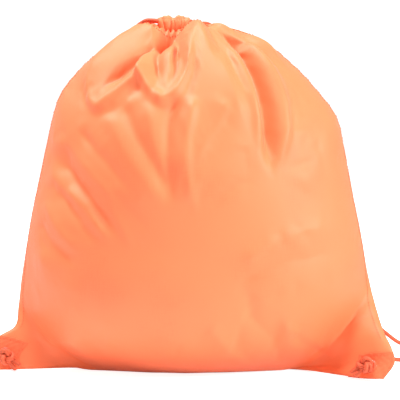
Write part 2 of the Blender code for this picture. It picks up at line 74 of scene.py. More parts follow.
# ---------------------------------------------------------------- camera, light and floor
SIGHT_CENTRE = Vector((0.012, 0.0, 0.158))  # what the camera looks at
SIGHT_DISTANCE = 1.45
SIGHT_ELEVATION = math.radians(6.0)
SIGHT_WIDTH = 0.368  # what the view spans at the centre
SENSOR_MM = 36.0
WORLD_GLOW = (0.27, 1.2)  # as light, and to the eye
FLOOR_GLOW = (0.08, 0.85)
FLOOR_SIZE = 12.0
FLOOR_DROP = 0.0002
# name, place, size, watts, colour
LIGHTS = (
    ("key", (1.45, -0.72, 0.72), 0.35, 25.0, (1.0, 0.985, 0.96)),
    ("top", (-0.10, -0.25, 1.45), 0.35, 20.0, (1.0, 1.0, 1.0)),
    ("front", (0.2, -1.6, 0.9), 0.8, 2.5, (1.0, 0.98, 0.96)),
    ("left", (-0.80, 0.15, 1.20), 0.30, 9.5, (1.0, 0.99, 0.97)),
)
LIGHTS_AIM = Vector((0.0, 0.0, 0.14))


def node(tree, kind, links=None, **settings):
    """Adds a node, sets its properties, and links {input: socket or value}."""
    made = tree.nodes.new(kind)
    for key, value in settings.items():
        setattr(made, key, value)
    for key, value in (links or {}).items():
        if isinstance(value, bpy.types.NodeSocket):
            tree.links.new(value, made.inputs[key])
        else:
            made.inputs[key].default_value = value
    return made


def add_object(name, data):
    item = bpy.data.objects.new(name, data)
    bpy.context.scene.collection.objects.link(item)
    return item


def look_at(item, target):
    item.rotation_euler = (target - item.location).to_track_quat("-Z", "Y").to_euler()


def make_camera():
    data = bpy.data.cameras.new("camera")
    data.sensor_width = SENSOR_MM
    data.lens = SENSOR_MM * SIGHT_DISTANCE / SIGHT_WIDTH
    camera = add_object("camera", data)
    back = Vector((0.0, -math.cos(SIGHT_ELEVATION), math.sin(SIGHT_ELEVATION)))
    camera.location = SIGHT_CENTRE + back * SIGHT_DISTANCE
    look_at(camera, SIGHT_CENTRE)
    bpy.context.scene.camera = camera
    return camera


def area_light(name, place, size, watts, colour):
    data = bpy.data.lights.new(name, "AREA")
    data.shape, data.size, data.energy, data.color = "DISK", size, watts, colour
    light = add_object(name, data)
    light.location = place
    look_at(light, LIGHTS_AIM)


def glow(tree, as_light, to_eye):
    """A brightness that is one value as light and another to the eye."""
    direct = tree.nodes.new("ShaderNodeLightPath").outputs["Is Camera Ray"]
    return node(tree, "ShaderNodeMapRange", {0: direct, 3: as_light, 4: to_eye}).outputs[0]


def make_studio():
    """A white floor and world, and the soft lights."""
    bpy.context.scene.view_settings.view_transform = "Standard"
    world = bpy.data.worlds.new("studio")
    world.use_nodes = True
    tree = world.node_tree
    backdrop = tree.nodes["Background"]
    backdrop.inputs["Color"].default_value = (1.0, 1.0, 1.0, 1.0)
    tree.links.new(glow(tree, *WORLD_GLOW), backdrop.inputs["Strength"])
    bpy.context.scene.world = world
    for light in LIGHTS:
        area_light(*light)
    bm = bmesh.new()
    bmesh.ops.create_grid(bm, x_segments=1, y_segments=1, size=FLOOR_SIZE)
    mesh = bpy.data.meshes.new("floor")
    bm.to_mesh(mesh)
    bm.free()
    floor = add_object("floor", mesh)
    floor.location.z = -FLOOR_DROP
    white = bpy.data.materials.new("white_floor")
    white.use_nodes = True
    tree = white.node_tree
    shader = tree.nodes["Principled BSDF"]
    shader.inputs["Base Color"].default_value = (0.93, 0.93, 0.93, 1.0)
    shader.inputs["Roughness"].default_value = 0.9
    shader.inputs["Emission Color"].default_value = (1.0, 1.0, 1.0, 1.0)
    tree.links.new(glow(tree, *FLOOR_GLOW), shader.inputs["Emission Strength"])
    mesh.materials.append(white)


CAMERA = make_camera()
make_studio()

# ---------------------------------------------------------------- curves


@functools.cache
def prepared(stations):
    """The stations' keys, rows and slopes."""
    table = np.array(stations, float)
    keys, rows = table[:, 0], table[:, 1:]
    return keys, rows, np.gradient(rows, keys, axis=0)


def smooth_through(stations, at):
    """Cubic curve through the stations (first number is the parameter), one row for each value of at."""
    keys, rows, rates = prepared(stations)
    at = np.clip(np.asarray(at, float), keys[0], keys[-1])
    i = np.clip(np.searchsorted(keys, at) - 1, 0, len(keys) - 2)
    span = (keys[i + 1] - keys[i])[..., None]
    u = (at - keys[i])[..., None] / span
    start = (1 + 2 * u) * (1 - u) ** 2 * rows[i] + u * (1 - u) ** 2 * span * rates[i]
    end = u * u * (3 - 2 * u) * rows[i + 1] - u * u * (1 - u) * span * rates[i + 1]
    return start + end


def ease(low, high, value):
    u = np.clip((np.asarray(value, float) - low) / (high - low), 0.0, 1.0)
    return u * u * (3 - 2 * u)


def walked(points):
    """The distance along the points to each of them."""
    return np.concatenate([[0.0], np.cumsum(np.linalg.norm(np.diff(points, axis=0), axis=1))])


def at_distance(at, distances, rows):
    """The rows' values at a distance, or at each of several."""
    return np.stack([np.interp(at, distances, rows[:, k]) for k in range(rows.shape[1])], axis=-1)


def along_route(route, count):
    """Evenly spaced points on one smooth curve through the route's points."""
    points = np.array([tuple(p) for p in route], float)
    keys = walked(points)
    stations = tuple((key, *point) for key, point in zip(keys.tolist(), points.tolist()))
    fine = smooth_through(stations, np.linspace(0.0, keys[-1], 8 * count))
    distances = walked(fine)
    return at_distance(np.linspace(0.0, distances[-1], count), distances, fine)


def unit(vectors):
    return vectors / np.maximum(np.linalg.norm(vectors, axis=-1, keepdims=True), 1e-12)


# ---------------------------------------------------------------- materials


def nodes_of(name, roughness, sheen, specular):
    """A new Principled material, with its node tree and its shader."""
    made = bpy.data.materials.new(name)
    made.use_nodes = True
    tree = made.node_tree
    shader = tree.nodes["Principled BSDF"]
    shader.inputs["Roughness"].default_value = roughness
    shader.inputs["Sheen Weight"].default_value = sheen
    shader.inputs["Sheen Roughness"].default_value = 0.4
    shader.inputs["Specular IOR Level"].default_value = specular
    return made, tree, shader


def math_node(tree, operation, a, b=0.0):
    return node(tree, "ShaderNodeMath", {0: a, 1: b}, operation=operation).outputs[0]


def ramp(tree, value, stops):
    """A colour ramp through (place, colour) stops."""
    made = node(tree, "ShaderNodeValToRGB", {0: value})
    band = made.color_ramp
    while len(band.elements) < len(stops):
        band.elements.new(0.5)
    for element, (place, colour) in zip(band.elements, stops):
        element.position = place
        element.color = (*colour, 1.0)
    return made.outputs[0]


def noise_node(tree, place, scale, detail, distortion=0.0):
    links = {"Vector": place, "Scale": scale, "Detail": detail, "Distortion": distortion}
    return node(tree, "ShaderNodeTexNoise", links).outputs[0]


def bump_node(tree, height, distance, strength, over=None):
    """Normals raised by a height, on top of an earlier bump if there is one."""
    links = {"Height": height, "Distance": distance, "Strength": strength}
    if over is not None:
        links["Normal"] = over
    return node(tree, "ShaderNodeBump", links).outputs[0]


def dress(tree, shader, colour, normal):
    tree.links.new(colour, shader.inputs["Base Color"])
    tree.links.new(normal, shader.inputs["Normal"])


THREAD_PITCH = 0.00042  # between the cloth's threads
SLUB_STRETCH = ((90.0, 1400.0, 1.0), (1400.0, 90.0, 1.0))  # of the slubs along each thread direction


def woven(name, base, shade, roughness, sheen):
    """Plain woven cloth: threads over and under, with slubs along them and soft blotches."""
    made, tree, shader = nodes_of(name, roughness, sheen, 0.4)
    flat = node(tree, "ShaderNodeUVMap", uv_map="flat").outputs[0]
    place = node(tree, "ShaderNodeTexCoord").outputs["Object"]
    split = node(tree, "ShaderNodeSeparateXYZ", {0: flat})
    waves, slubs = [], []
    for along, stretch in zip(split.outputs, SLUB_STRETCH):
        waves.append(math_node(tree, "SINE", math_node(tree, "MULTIPLY", along, math.tau / THREAD_PITCH)))
        stretched = node(tree, "ShaderNodeMapping", {0: flat, "Scale": stretch}).outputs[0]
        slubs.append(noise_node(tree, stretched, 1.0, 2.0))
    weave = math_node(tree, "MULTIPLY", *waves)
    threads = math_node(tree, "ADD", *slubs)
    crumple = noise_node(tree, place, 55.0, 4.0, 0.6)
    blotch = noise_node(tree, place, 14.0, 3.0)
    mixed = math_node(tree, "ADD", blotch, math_node(tree, "MULTIPLY", threads, 0.35))
    colour = ramp(tree, math_node(tree, "MULTIPLY", mixed, 0.74), ((0.36, shade), (0.62, base)))
    spread = {0: threads, 1: 0.6, 2: 1.4, 3: roughness - 0.07, 4: roughness + 0.09}
    tree.links.new(node(tree, "ShaderNodeMapRange", spread).outputs[0], shader.inputs["Roughness"])
    raised = bump_node(tree, weave, 0.00003, 0.45)
    raised = bump_node(tree, threads, 0.00010, 0.35, raised)
    dress(tree, shader, colour, bump_node(tree, crumple, 0.0010, 0.10, raised))
    return made


def braided(name, base, dark):
    """Braided cord: a fine fuzz, with shade painted into the hollows between the yarns."""
    made, tree, shader = nodes_of(name, 0.6, 0.08, 0.3)
    relief_shading = node(tree, "ShaderNodeAttribute", attribute_name="relief").outputs["Fac"]
    place = node(tree, "ShaderNodeTexCoord").outputs["Object"]
    fuzz = noise_node(tree, place, 2600.0, 3.0)
    dirt = noise_node(tree, place, 70.0, 3.0)
    # Painted shade: the colour turns dark where the braid's relief is low, in the hollows between the yarns,
    # mixed with random dirt.
    parts = (math_node(tree, "MULTIPLY", relief_shading, 0.62), math_node(tree, "MULTIPLY", dirt, 0.4))
    colour = ramp(tree, math_node(tree, "ADD", *parts), ((0.15, dark), (0.75, base)))
    dress(tree, shader, colour, bump_node(tree, fuzz, 0.00012, 0.5))
    return made


def lacquered(name, base, worn):
    """Lacquered metal, a little worn where it is rubbed."""
    made, tree, shader = nodes_of(name, 0.38, 0.0, 0.5)
    shader.inputs["Coat Weight"].default_value = 0.3
    place = node(tree, "ShaderNodeTexCoord").outputs["Object"]
    rub = noise_node(tree, place, 420.0, 5.0)
    dress(tree, shader, ramp(tree, rub, ((0.35, worn), (0.6, base))), bump_node(tree, rub, 0.00008, 0.3))
    return made


def thread_material(name, base, dark):
    """Sewing thread, mottled by its plies."""
    made, tree, shader = nodes_of(name, 0.55, 0.1, 0.3)
    place = node(tree, "ShaderNodeTexCoord").outputs["Object"]
    ply = noise_node(tree, place, 3000.0, 2.0)
    dress(tree, shader, ramp(tree, ply, ((0.35, dark), (0.65, base))), bump_node(tree, ply, 0.0001, 0.4))
    return made


CLOTH_MATERIAL = woven("orange_polyester", (0.96, 0.212, 0.080), (0.93, 0.178, 0.064), 0.5, 0.12)
PATCH_MATERIAL = woven("orange_patch_cloth", (0.94, 0.165, 0.062), (0.88, 0.130, 0.048), 0.55, 0.1)
# The cord's darker colour is painted shade in the braid's hollows, mixed with random dirt.
CORD_MATERIAL = braided("red_orange_cord", (0.72, 0.125, 0.052), (0.40, 0.042, 0.018))
EYELET_MATERIAL = lacquered("orange_lacquer", (0.80, 0.13, 0.045), (0.62, 0.10, 0.04))
THREAD_MATERIAL = thread_material("orange_thread", (0.90, 0.20, 0.075), (0.70, 0.11, 0.04))

# ---------------------------------------------------------------- meshes


def mesh_object(name, verts, faces, material, body="sack"):
    """A smooth-shaded piece that rides on a body, unless body is None."""
    mesh = bpy.data.meshes.new(name)
    mesh.from_pydata([tuple(v) for v in verts], [], faces)
    mesh.update()
    mesh.shade_smooth()
    mesh.materials.append(material)
    item = add_object(name, mesh)
    if body:
        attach(item, body)
    return item


def flat_layer(item, flat):
    """Gives every point its place on the flat cloth, in metres, for the weave."""
    layer = item.data.uv_layers.new(name="flat")
    corners = np.zeros(len(item.data.loops), int)
    item.data.loops.foreach_get("vertex_index", corners)
    layer.data.foreach_set("uv", np.asarray(flat)[corners].ravel())


def thicken(item, thickness, offset):
    thick = item.modifiers.new("thickness", "SOLIDIFY")
    thick.thickness = thickness
    thick.offset = offset


def turned_over(faces):
    return [tuple(reversed(face)) for face in faces]


def panel_faces(columns, rows, index):
    """A grid's quads, row by row."""
    return [
        (index[j, i], index[j, i + 1], index[j + 1, i + 1], index[j + 1, i])
        for j in range(rows)
        for i in range(columns)
    ]


def ring_faces(rings, sides, start=0, ends="capped"):
    """Quads between neighbouring rings of vertices; the ends are capped, open or joined to each other."""
    faces = []
    for k in range(rings if ends == "joined" else rings - 1):
        low, high = start + k * sides, start + (k + 1) % rings * sides
        for i in range(sides):
            j = (i + 1) % sides
            faces.append((low + i, low + j, high + j, high + i))
    if ends == "capped":
        last = start + (rings - 1) * sides
        faces.append(tuple(start + i for i in reversed(range(sides))))
        faces.append(tuple(last + i for i in range(sides)))
    return faces


# ---------------------------------------------------------------- cords

# Where the free strands run, from the mouth down the back and over the ground to the corner's eyelet.
STRAND_ROUTES = {
    "right_strand_a": (
        (0.007, -0.007, 0.3175), (0.013, -0.002, 0.319), (0.0185, 0.006, 0.319), (0.024, 0.015, 0.316),
        (0.033, 0.028, 0.3075), (0.045, 0.0415, 0.2935), (0.058, 0.053, 0.274), (0.073, 0.0635, 0.244),
        (0.085, 0.07, 0.211), (0.095, 0.0745, 0.178), (0.102, 0.076, 0.145), (0.109, 0.0765, 0.112),
        (0.118, 0.077, 0.08), (0.129, 0.079, 0.07), (0.144, 0.083, 0.059), (0.159, 0.086, 0.048),
        (0.172, 0.088, 0.0368), (0.184, 0.0895, 0.0262), (0.196, 0.0905, 0.016), (0.208, 0.091, 0.0072),
        (0.222, 0.091, 0.0024), (0.237, 0.088, 0.002), (0.25, 0.078, 0.002), (0.254, 0.064, 0.002),
        (0.246, 0.051, 0.002), (0.231, 0.042, 0.002), (0.214, 0.035, 0.002), (0.201, 0.028, 0.0028),
        (0.191, 0.02, 0.006), (0.184, 0.01, 0.012), (0.18, -0.004, 0.0165), (0.1785, -0.017, 0.0155),
        (0.1768, -0.0285, 0.012),
    ),
    "right_strand_b": (
        (0.006, 0.0105, 0.3172), (0.01, 0.0155, 0.3172), (0.0135, 0.0235, 0.3135), (0.019, 0.035, 0.3055),
        (0.028, 0.049, 0.2905), (0.04, 0.0595, 0.2715), (0.053, 0.0705, 0.2425), (0.062, 0.0795, 0.21),
        (0.067, 0.0845, 0.177), (0.07, 0.0865, 0.143), (0.073, 0.0865, 0.11), (0.078, 0.085, 0.078),
        (0.085, 0.088, 0.048), (0.094, 0.094, 0.022), (0.103, 0.102, 0.007), (0.113, 0.11, 0.002),
        (0.126, 0.113, 0.002), (0.137, 0.107, 0.002), (0.141, 0.095, 0.002), (0.141, 0.082, 0.002),
        (0.144, 0.068, 0.002), (0.149, 0.052, 0.002), (0.156, 0.035, 0.002), (0.163, 0.017, 0.002),
        (0.168, 0.0, 0.0035), (0.171, -0.016, 0.0075), (0.1715, -0.028, 0.0105),
    ),
    "left_strand_a": (
        (-0.03, -0.0073, 0.322), (-0.036, -0.004, 0.322), (-0.0415, 0.0035, 0.3195),
        (-0.0465, 0.012, 0.316), (-0.052, 0.022, 0.309), (-0.06, 0.034, 0.296), (-0.067, 0.047, 0.276),
        (-0.077, 0.0615, 0.243), (-0.085, 0.069, 0.211), (-0.09, 0.073, 0.178), (-0.094, 0.075, 0.145),
        (-0.097, 0.0745, 0.112), (-0.101, 0.0735, 0.079), (-0.107, 0.077, 0.049), (-0.115, 0.082, 0.023),
        (-0.124, 0.089, 0.007), (-0.134, 0.095, 0.002), (-0.146, 0.097, 0.002), (-0.156, 0.092, 0.002),
        (-0.161, 0.081, 0.002), (-0.161, 0.067, 0.002), (-0.161, 0.052, 0.002), (-0.163, 0.037, 0.0025),
        (-0.166, 0.024, 0.005), (-0.1685, 0.013, 0.009), (-0.17, 0.004, 0.0125),
    ),
    "left_strand_b": (
        (-0.03, 0.01, 0.3215), (-0.035, 0.0145, 0.32), (-0.0385, 0.0205, 0.3165), (-0.042, 0.03, 0.308),
        (-0.047, 0.044, 0.2925), (-0.052, 0.057, 0.2735), (-0.058, 0.0705, 0.2425),
        (-0.063, 0.0795, 0.21), (-0.066, 0.0845, 0.177), (-0.068, 0.0865, 0.143), (-0.07, 0.0865, 0.11),
        (-0.073, 0.085, 0.078), (-0.078, 0.088, 0.048), (-0.085, 0.094, 0.022), (-0.091, 0.102, 0.007),
        (-0.098, 0.109, 0.002), (-0.107, 0.111, 0.002), (-0.114, 0.105, 0.002), (-0.116, 0.094, 0.002),
        (-0.116, 0.082, 0.002), (-0.119, 0.07, 0.002), (-0.127, 0.058, 0.002), (-0.138, 0.047, 0.002),
        (-0.148, 0.036, 0.002), (-0.156, 0.025, 0.003), (-0.1615, 0.015, 0.0065), (-0.1645, 0.006, 0.011),
    ),
}

BRAID_CARRIERS = 6  # yarns that run each way round the cord
BRAID_PITCH = 0.0135  # how far a yarn goes along the cord in one turn
BRAID_RELIEF = 0.00022
CORD_SIDES = 24
CORD_STEP = 0.0006  # between the rings of a cord's surface


def carried_frames(points):
    """Two unit vectors across the cord at every point, carried along without twisting."""
    tangents = unit(np.gradient(points, axis=0))
    first = np.cross(tangents[0], (0.0, 0.0, 1.0))
    if np.linalg.norm(first) < 1e-3:
        first = np.cross(tangents[0], (0.0, 1.0, 0.0))
    normals = [first / np.linalg.norm(first)]
    for tangent in tangents[1:]:
        moved = normals[-1] - tangent * np.dot(normals[-1], tangent)
        normals.append(moved / np.linalg.norm(moved))
    normals = np.array(normals)
    return normals, np.cross(tangents, normals)


def braid_height(angle, distance):
    """0 in the hollows between yarns, 1 on their backs."""
    turn = math.tau * distance / BRAID_PITCH
    right = BRAID_CARRIERS * (angle + turn) / 2
    left = BRAID_CARRIERS * (angle - turn) / 2
    over = np.abs(np.sin(right)) ** 0.7
    under = np.abs(np.sin(left)) ** 0.7
    on_top = np.sin(right + left) * np.sin(right - left) > 0
    return np.where(on_top, over, 0.75 * under) * 0.8 + 0.2 * over * under


def cord_tube(points, round_tip=False):
    """Vertices, faces and relief of a braided round cord along the points, and its line."""
    points = np.asarray(points, float)
    count = max(int(walked(points)[-1] / CORD_STEP), 8)
    fine = along_route(points, count)
    normals, across = carried_frames(fine)
    distance = walked(fine)
    angle = np.linspace(0.0, math.tau, CORD_SIDES, endpoint=False)
    height = braid_height(angle[None, :], distance[:, None])
    reach = CORD_RADIUS - BRAID_RELIEF * (1.0 - height)
    if round_tip:
        to_end = np.clip((distance[-1] - distance) / CORD_RADIUS, 0.0, 1.0)
        reach = reach * np.sqrt(np.maximum(1.0 - (1.0 - to_end[:, None]) ** 2, 0.01))
    turn = angle[None, :, None]
    ring = np.cos(turn) * normals[:, None, :] + np.sin(turn) * across[:, None, :]
    verts = (fine[:, None, :] + ring * reach[:, :, None]).reshape(-1, 3)
    return verts, ring_faces(count, CORD_SIDES), height.reshape(-1), fine


def cord_object(name, tubes, body):
    """One piece made of one or more braided tubes."""
    verts, faces, relief, start = [], [], [], 0
    for tube_verts, tube_faces, height, _ in tubes:
        verts.append(tube_verts)
        faces += [tuple(i + start for i in face) for face in tube_faces]
        relief.append(height)
        start += len(tube_verts)
    item = mesh_object(name, np.concatenate(verts), faces, CORD_MATERIAL, body)
    # The braid's relief, which the cord material also uses to paint shade into the hollows between the yarns.
    attribute = item.data.attributes.new("relief", "FLOAT", "POINT")
    attribute.data.foreach_set("value", np.concatenate(relief).astype(np.float32))
    return item


@functools.cache
def eyelet_frame(sign):
    """Where a corner's eyelet sits: its middle between the layers, and its axis towards the front."""
    across, up = EYELET_AT
    front = skin(-1, sign * across, up)
    back = skin(1, sign * across, up)
    axis = unit(skin_normal(-1, sign * across, up) - skin_normal(1, sign * across, up))
    return (front + back) / 2, axis


def level_outwards(sign):
    """The level direction across an eyelet, away from the sack."""
    axis = eyelet_frame(sign)[1]
    return unit(np.array([-axis[1], axis[0], 0.0])) * sign


def through_eyelet(sign, letter, forward):
    """A point on a strand's way through the eyelet, this far in front of the corner's middle layer."""
    place, axis = eyelet_frame(sign)
    aside = SHANK_SPREAD if letter == "a" else -SHANK_SPREAD
    return place + axis * forward + level_outwards(sign) * aside


STRAIGHT_OUT = (0.0, 0.0025)  # a strand leaves its casing straight
STRAIGHT_IN = (0.006, 0.0)  # and reaches its eyelet straight


def strand_route(name):
    """A free strand's whole way: out of its casing, along its route and up to its eyelet."""
    corner, _, letter = name.split("_")
    sign, level = (-1, LEFT_CORD_LEVEL) if corner == "left" else (1, RIGHT_CORD_LEVEL)
    exit_x = MOUTH.x + sign * (CASING_HALF_LENGTH + EXIT_ROOM + GAP)
    exit_y = MOUTH_HALF_DEPTH if letter == "b" else -MOUTH_HALF_DEPTH
    last = [through_eyelet(sign, letter, -SHANK_BACK - GAP - back) for back in STRAIGHT_IN]
    first = [(exit_x + sign * straight, exit_y, level) for straight in STRAIGHT_OUT]
    return [*first, *STRAND_ROUTES[name], *last]


# ---------------------------------------------------------------- the sack's base surface

# Up the middle of a panel: share of the flat height, depth from the seam plane, height.
MIDDLE = (
    (0.0, 0.0, 0.0), (0.045, 0.0175, 0.0), (0.09, 0.032, 0.004), (0.13, 0.047, 0.0105),
    (0.19, 0.0685, 0.027), (0.29, 0.089, 0.064), (0.42, 0.0945, 0.118), (0.55, 0.093, 0.172),
    (0.65, 0.086, 0.213), (0.75, 0.074, 0.252), (0.83, 0.0575, 0.281), (0.9, 0.037, 0.302),
    (0.95, 0.02, 0.3115), (1.0, 0.008, 0.3125),
)
# Up the side seams: share of the flat height, x, y, height.
RIGHT_SEAM = (
    (0.0, 0.176, -0.057, 0.0016), (0.05, 0.186, -0.0545, 0.016), (0.09, 0.184, -0.0515, 0.028),
    (0.13, 0.178, -0.042, 0.041), (0.18, 0.1735, -0.019, 0.058), (0.25, 0.169, 0.0, 0.084),
    (0.35, 0.1615, 0.0, 0.124), (0.45, 0.153, 0.0, 0.164), (0.55, 0.145, 0.0, 0.204),
    (0.62, 0.1375, 0.0, 0.233), (0.7, 0.118, 0.0, 0.26), (0.78, 0.093, 0.0, 0.286),
    (0.86, 0.064, 0.0, 0.3065), (0.93, 0.0345, 0.0, 0.3175), (1.0, 0.004, 0.0, 0.3125),
)
LEFT_SEAM = (
    (0.0, -0.186, -0.018, 0.0016), (0.05, -0.185, -0.014, 0.021), (0.08, -0.174, -0.009, 0.031),
    (0.12, -0.159, -0.004, 0.04), (0.16, -0.1565, 0.0, 0.056), (0.22, -0.154, 0.0, 0.082),
    (0.33, -0.147, 0.0, 0.126), (0.45, -0.138, 0.0, 0.172), (0.55, -0.129, 0.0, 0.212),
    (0.62, -0.1225, 0.0, 0.237), (0.68, -0.116, 0.0, 0.255), (0.76, -0.0985, 0.0, 0.277),
    (0.84, -0.075, 0.0, 0.297), (0.92, -0.051, 0.0, 0.311), (1.0, -0.028, 0.0, 0.3125),
)
# How sharply a panel's bulge falls off towards its seams: share of the flat height, power.
PINCH = (
    (0.0, 3.6), (0.1, 3.3), (0.2, 2.0), (0.3, 1.35), (0.5, 1.1), (0.8, 1.0), (0.95, 0.8), (1.0, 0.5),
)


def between(across, up):
    """The middle surface between the two panels, where both would lie if the sack were empty."""
    across, up = np.broadcast_arrays(np.asarray(across, float), np.asarray(up, float))
    seam = np.where((across > 0)[..., None], smooth_through(RIGHT_SEAM, up), smooth_through(LEFT_SEAM, up))
    height = smooth_through(MIDDLE, up)[..., 1]
    middle_x = MOUTH.x * ease(0.3, 1.0, up)
    reach = np.abs(across)
    flat = 1.0 - ease(0.0, 0.3, up)
    spread = flat * reach + (1.0 - flat) * np.sin(math.pi / 2 * reach)
    corner = ease(0.45, 1.0, reach)
    x = middle_x + (seam[..., 0] - middle_x) * spread
    return np.stack((x, seam[..., 1] * corner, height + (seam[..., 2] - height) * corner), axis=-1)


def slopes(surface, across, up, step):
    """A surface's steps across and up at its points."""
    low_across, high_across = np.maximum(across - step, -1.0), np.minimum(across + step, 1.0)
    low_up, high_up = np.maximum(up - step, 0.0), np.minimum(up + step, 1.0)
    aside = surface(high_across, up) - surface(low_across, up)
    return aside, surface(across, high_up) - surface(across, low_up)


def skin(side, across, up):
    """Points on the skin. side: -1 front, 1 back; across: -1..1, seam to seam; up: 0..1, to the mouth."""
    across, up = np.broadcast_arrays(np.asarray(across, float), np.asarray(up, float))
    depth = smooth_through(MIDDLE, up)[..., 0]
    pinch = smooth_through(PINCH, up)[..., 0]
    reach = np.abs(across)
    lens = np.maximum(np.cos(math.pi / 2 * reach), 0.0) ** pinch
    flattened = ease(0.42, 0.60, reach) * (1.0 - ease(0.36, 0.56, up))
    place = between(across, up)
    place[..., 1] += side * (GAP / 2 + depth * lens)
    along, upward = slopes(between, across, up, 0.01)
    place += unit(np.cross(upward, along)) * (side * CLOTH * LAYER_ROOM * flattened)[..., None]
    place[..., 2] += CORNER_LIFT * flattened
    return place


def skin_normal(side, across, up):
    surface = functools.partial(skin, side)
    along, upward = slopes(surface, np.asarray(across, float), np.asarray(up, float), 0.002)
    return unit(np.cross(along, upward) * -side)


# ---------------------------------------------------------------- folds

FOLD_FOOT = 2.2  # how far a fold's foot reaches, in widths
FOLD_ROUND = 0.0012  # how round its crest is
FOLD_FADE = (0.12, 0.32)  # the shares of its line over which it starts and ends


def seen(points):
    """Where points appear on the upright plane through the middle of the sack, seen from the front."""
    eye = np.array(CAMERA.location)
    forward = unit(np.array(SIGHT_CENTRE) - eye)
    right = np.array((1.0, 0.0, 0.0))
    upright = np.cross(right, forward)
    ray = points - eye
    on_plane = ray * (SIGHT_DISTANCE / (ray @ forward))[..., None] + eye - np.array(SIGHT_CENTRE)
    return on_plane @ right + SIGHT_CENTRE.x, on_plane @ upright + SIGHT_CENTRE.z


def beside(line, x, z):
    """Each seen point's distance from the line, positive to its left, and how far along it, 0..1."""
    nodes = along_route([(a / 1000, b / 1000, 0.0) for a, b in line], 60)[:, :2]
    starts, steps = nodes[:-1], np.diff(nodes, axis=0)
    spans = (steps**2).sum(1)
    best = np.full(x.shape, 1e9)
    signed, share = np.zeros(x.shape), np.zeros(x.shape)
    for k, (start, step, span) in enumerate(zip(starts, steps, spans)):
        u = np.clip(((x - start[0]) * step[0] + (z - start[1]) * step[1]) / span, 0.0, 1.0)
        off_x, off_z = x - start[0] - u * step[0], z - start[1] - u * step[1]
        distance = np.hypot(off_x, off_z)
        closer = distance < best
        best = np.where(closer, distance, best)
        turn = np.sign(step[0] * off_z - step[1] * off_x)
        signed = np.where(closer, distance * turn, signed)
        share = np.where(closer, (k + u) / len(steps), share)
    return signed, share


def ridge(line, height, left, right, x, z):
    """A fold along the line, in millimetres: how far it stands out, and its widths on the two sides."""
    signed, share = beside(line, x, z)
    width = FOLD_FOOT * np.where(signed > 0, left, right) / 1000
    ends = ease(0.0, FOLD_FADE[0], share) * (1.0 - ease(1.0 - FOLD_FADE[1], 1.0, share))
    away = np.minimum((np.hypot(signed, FOLD_ROUND) - FOLD_ROUND) / width, 1.0)
    return height / 1000 * (1.0 - away) ** 2 * ends


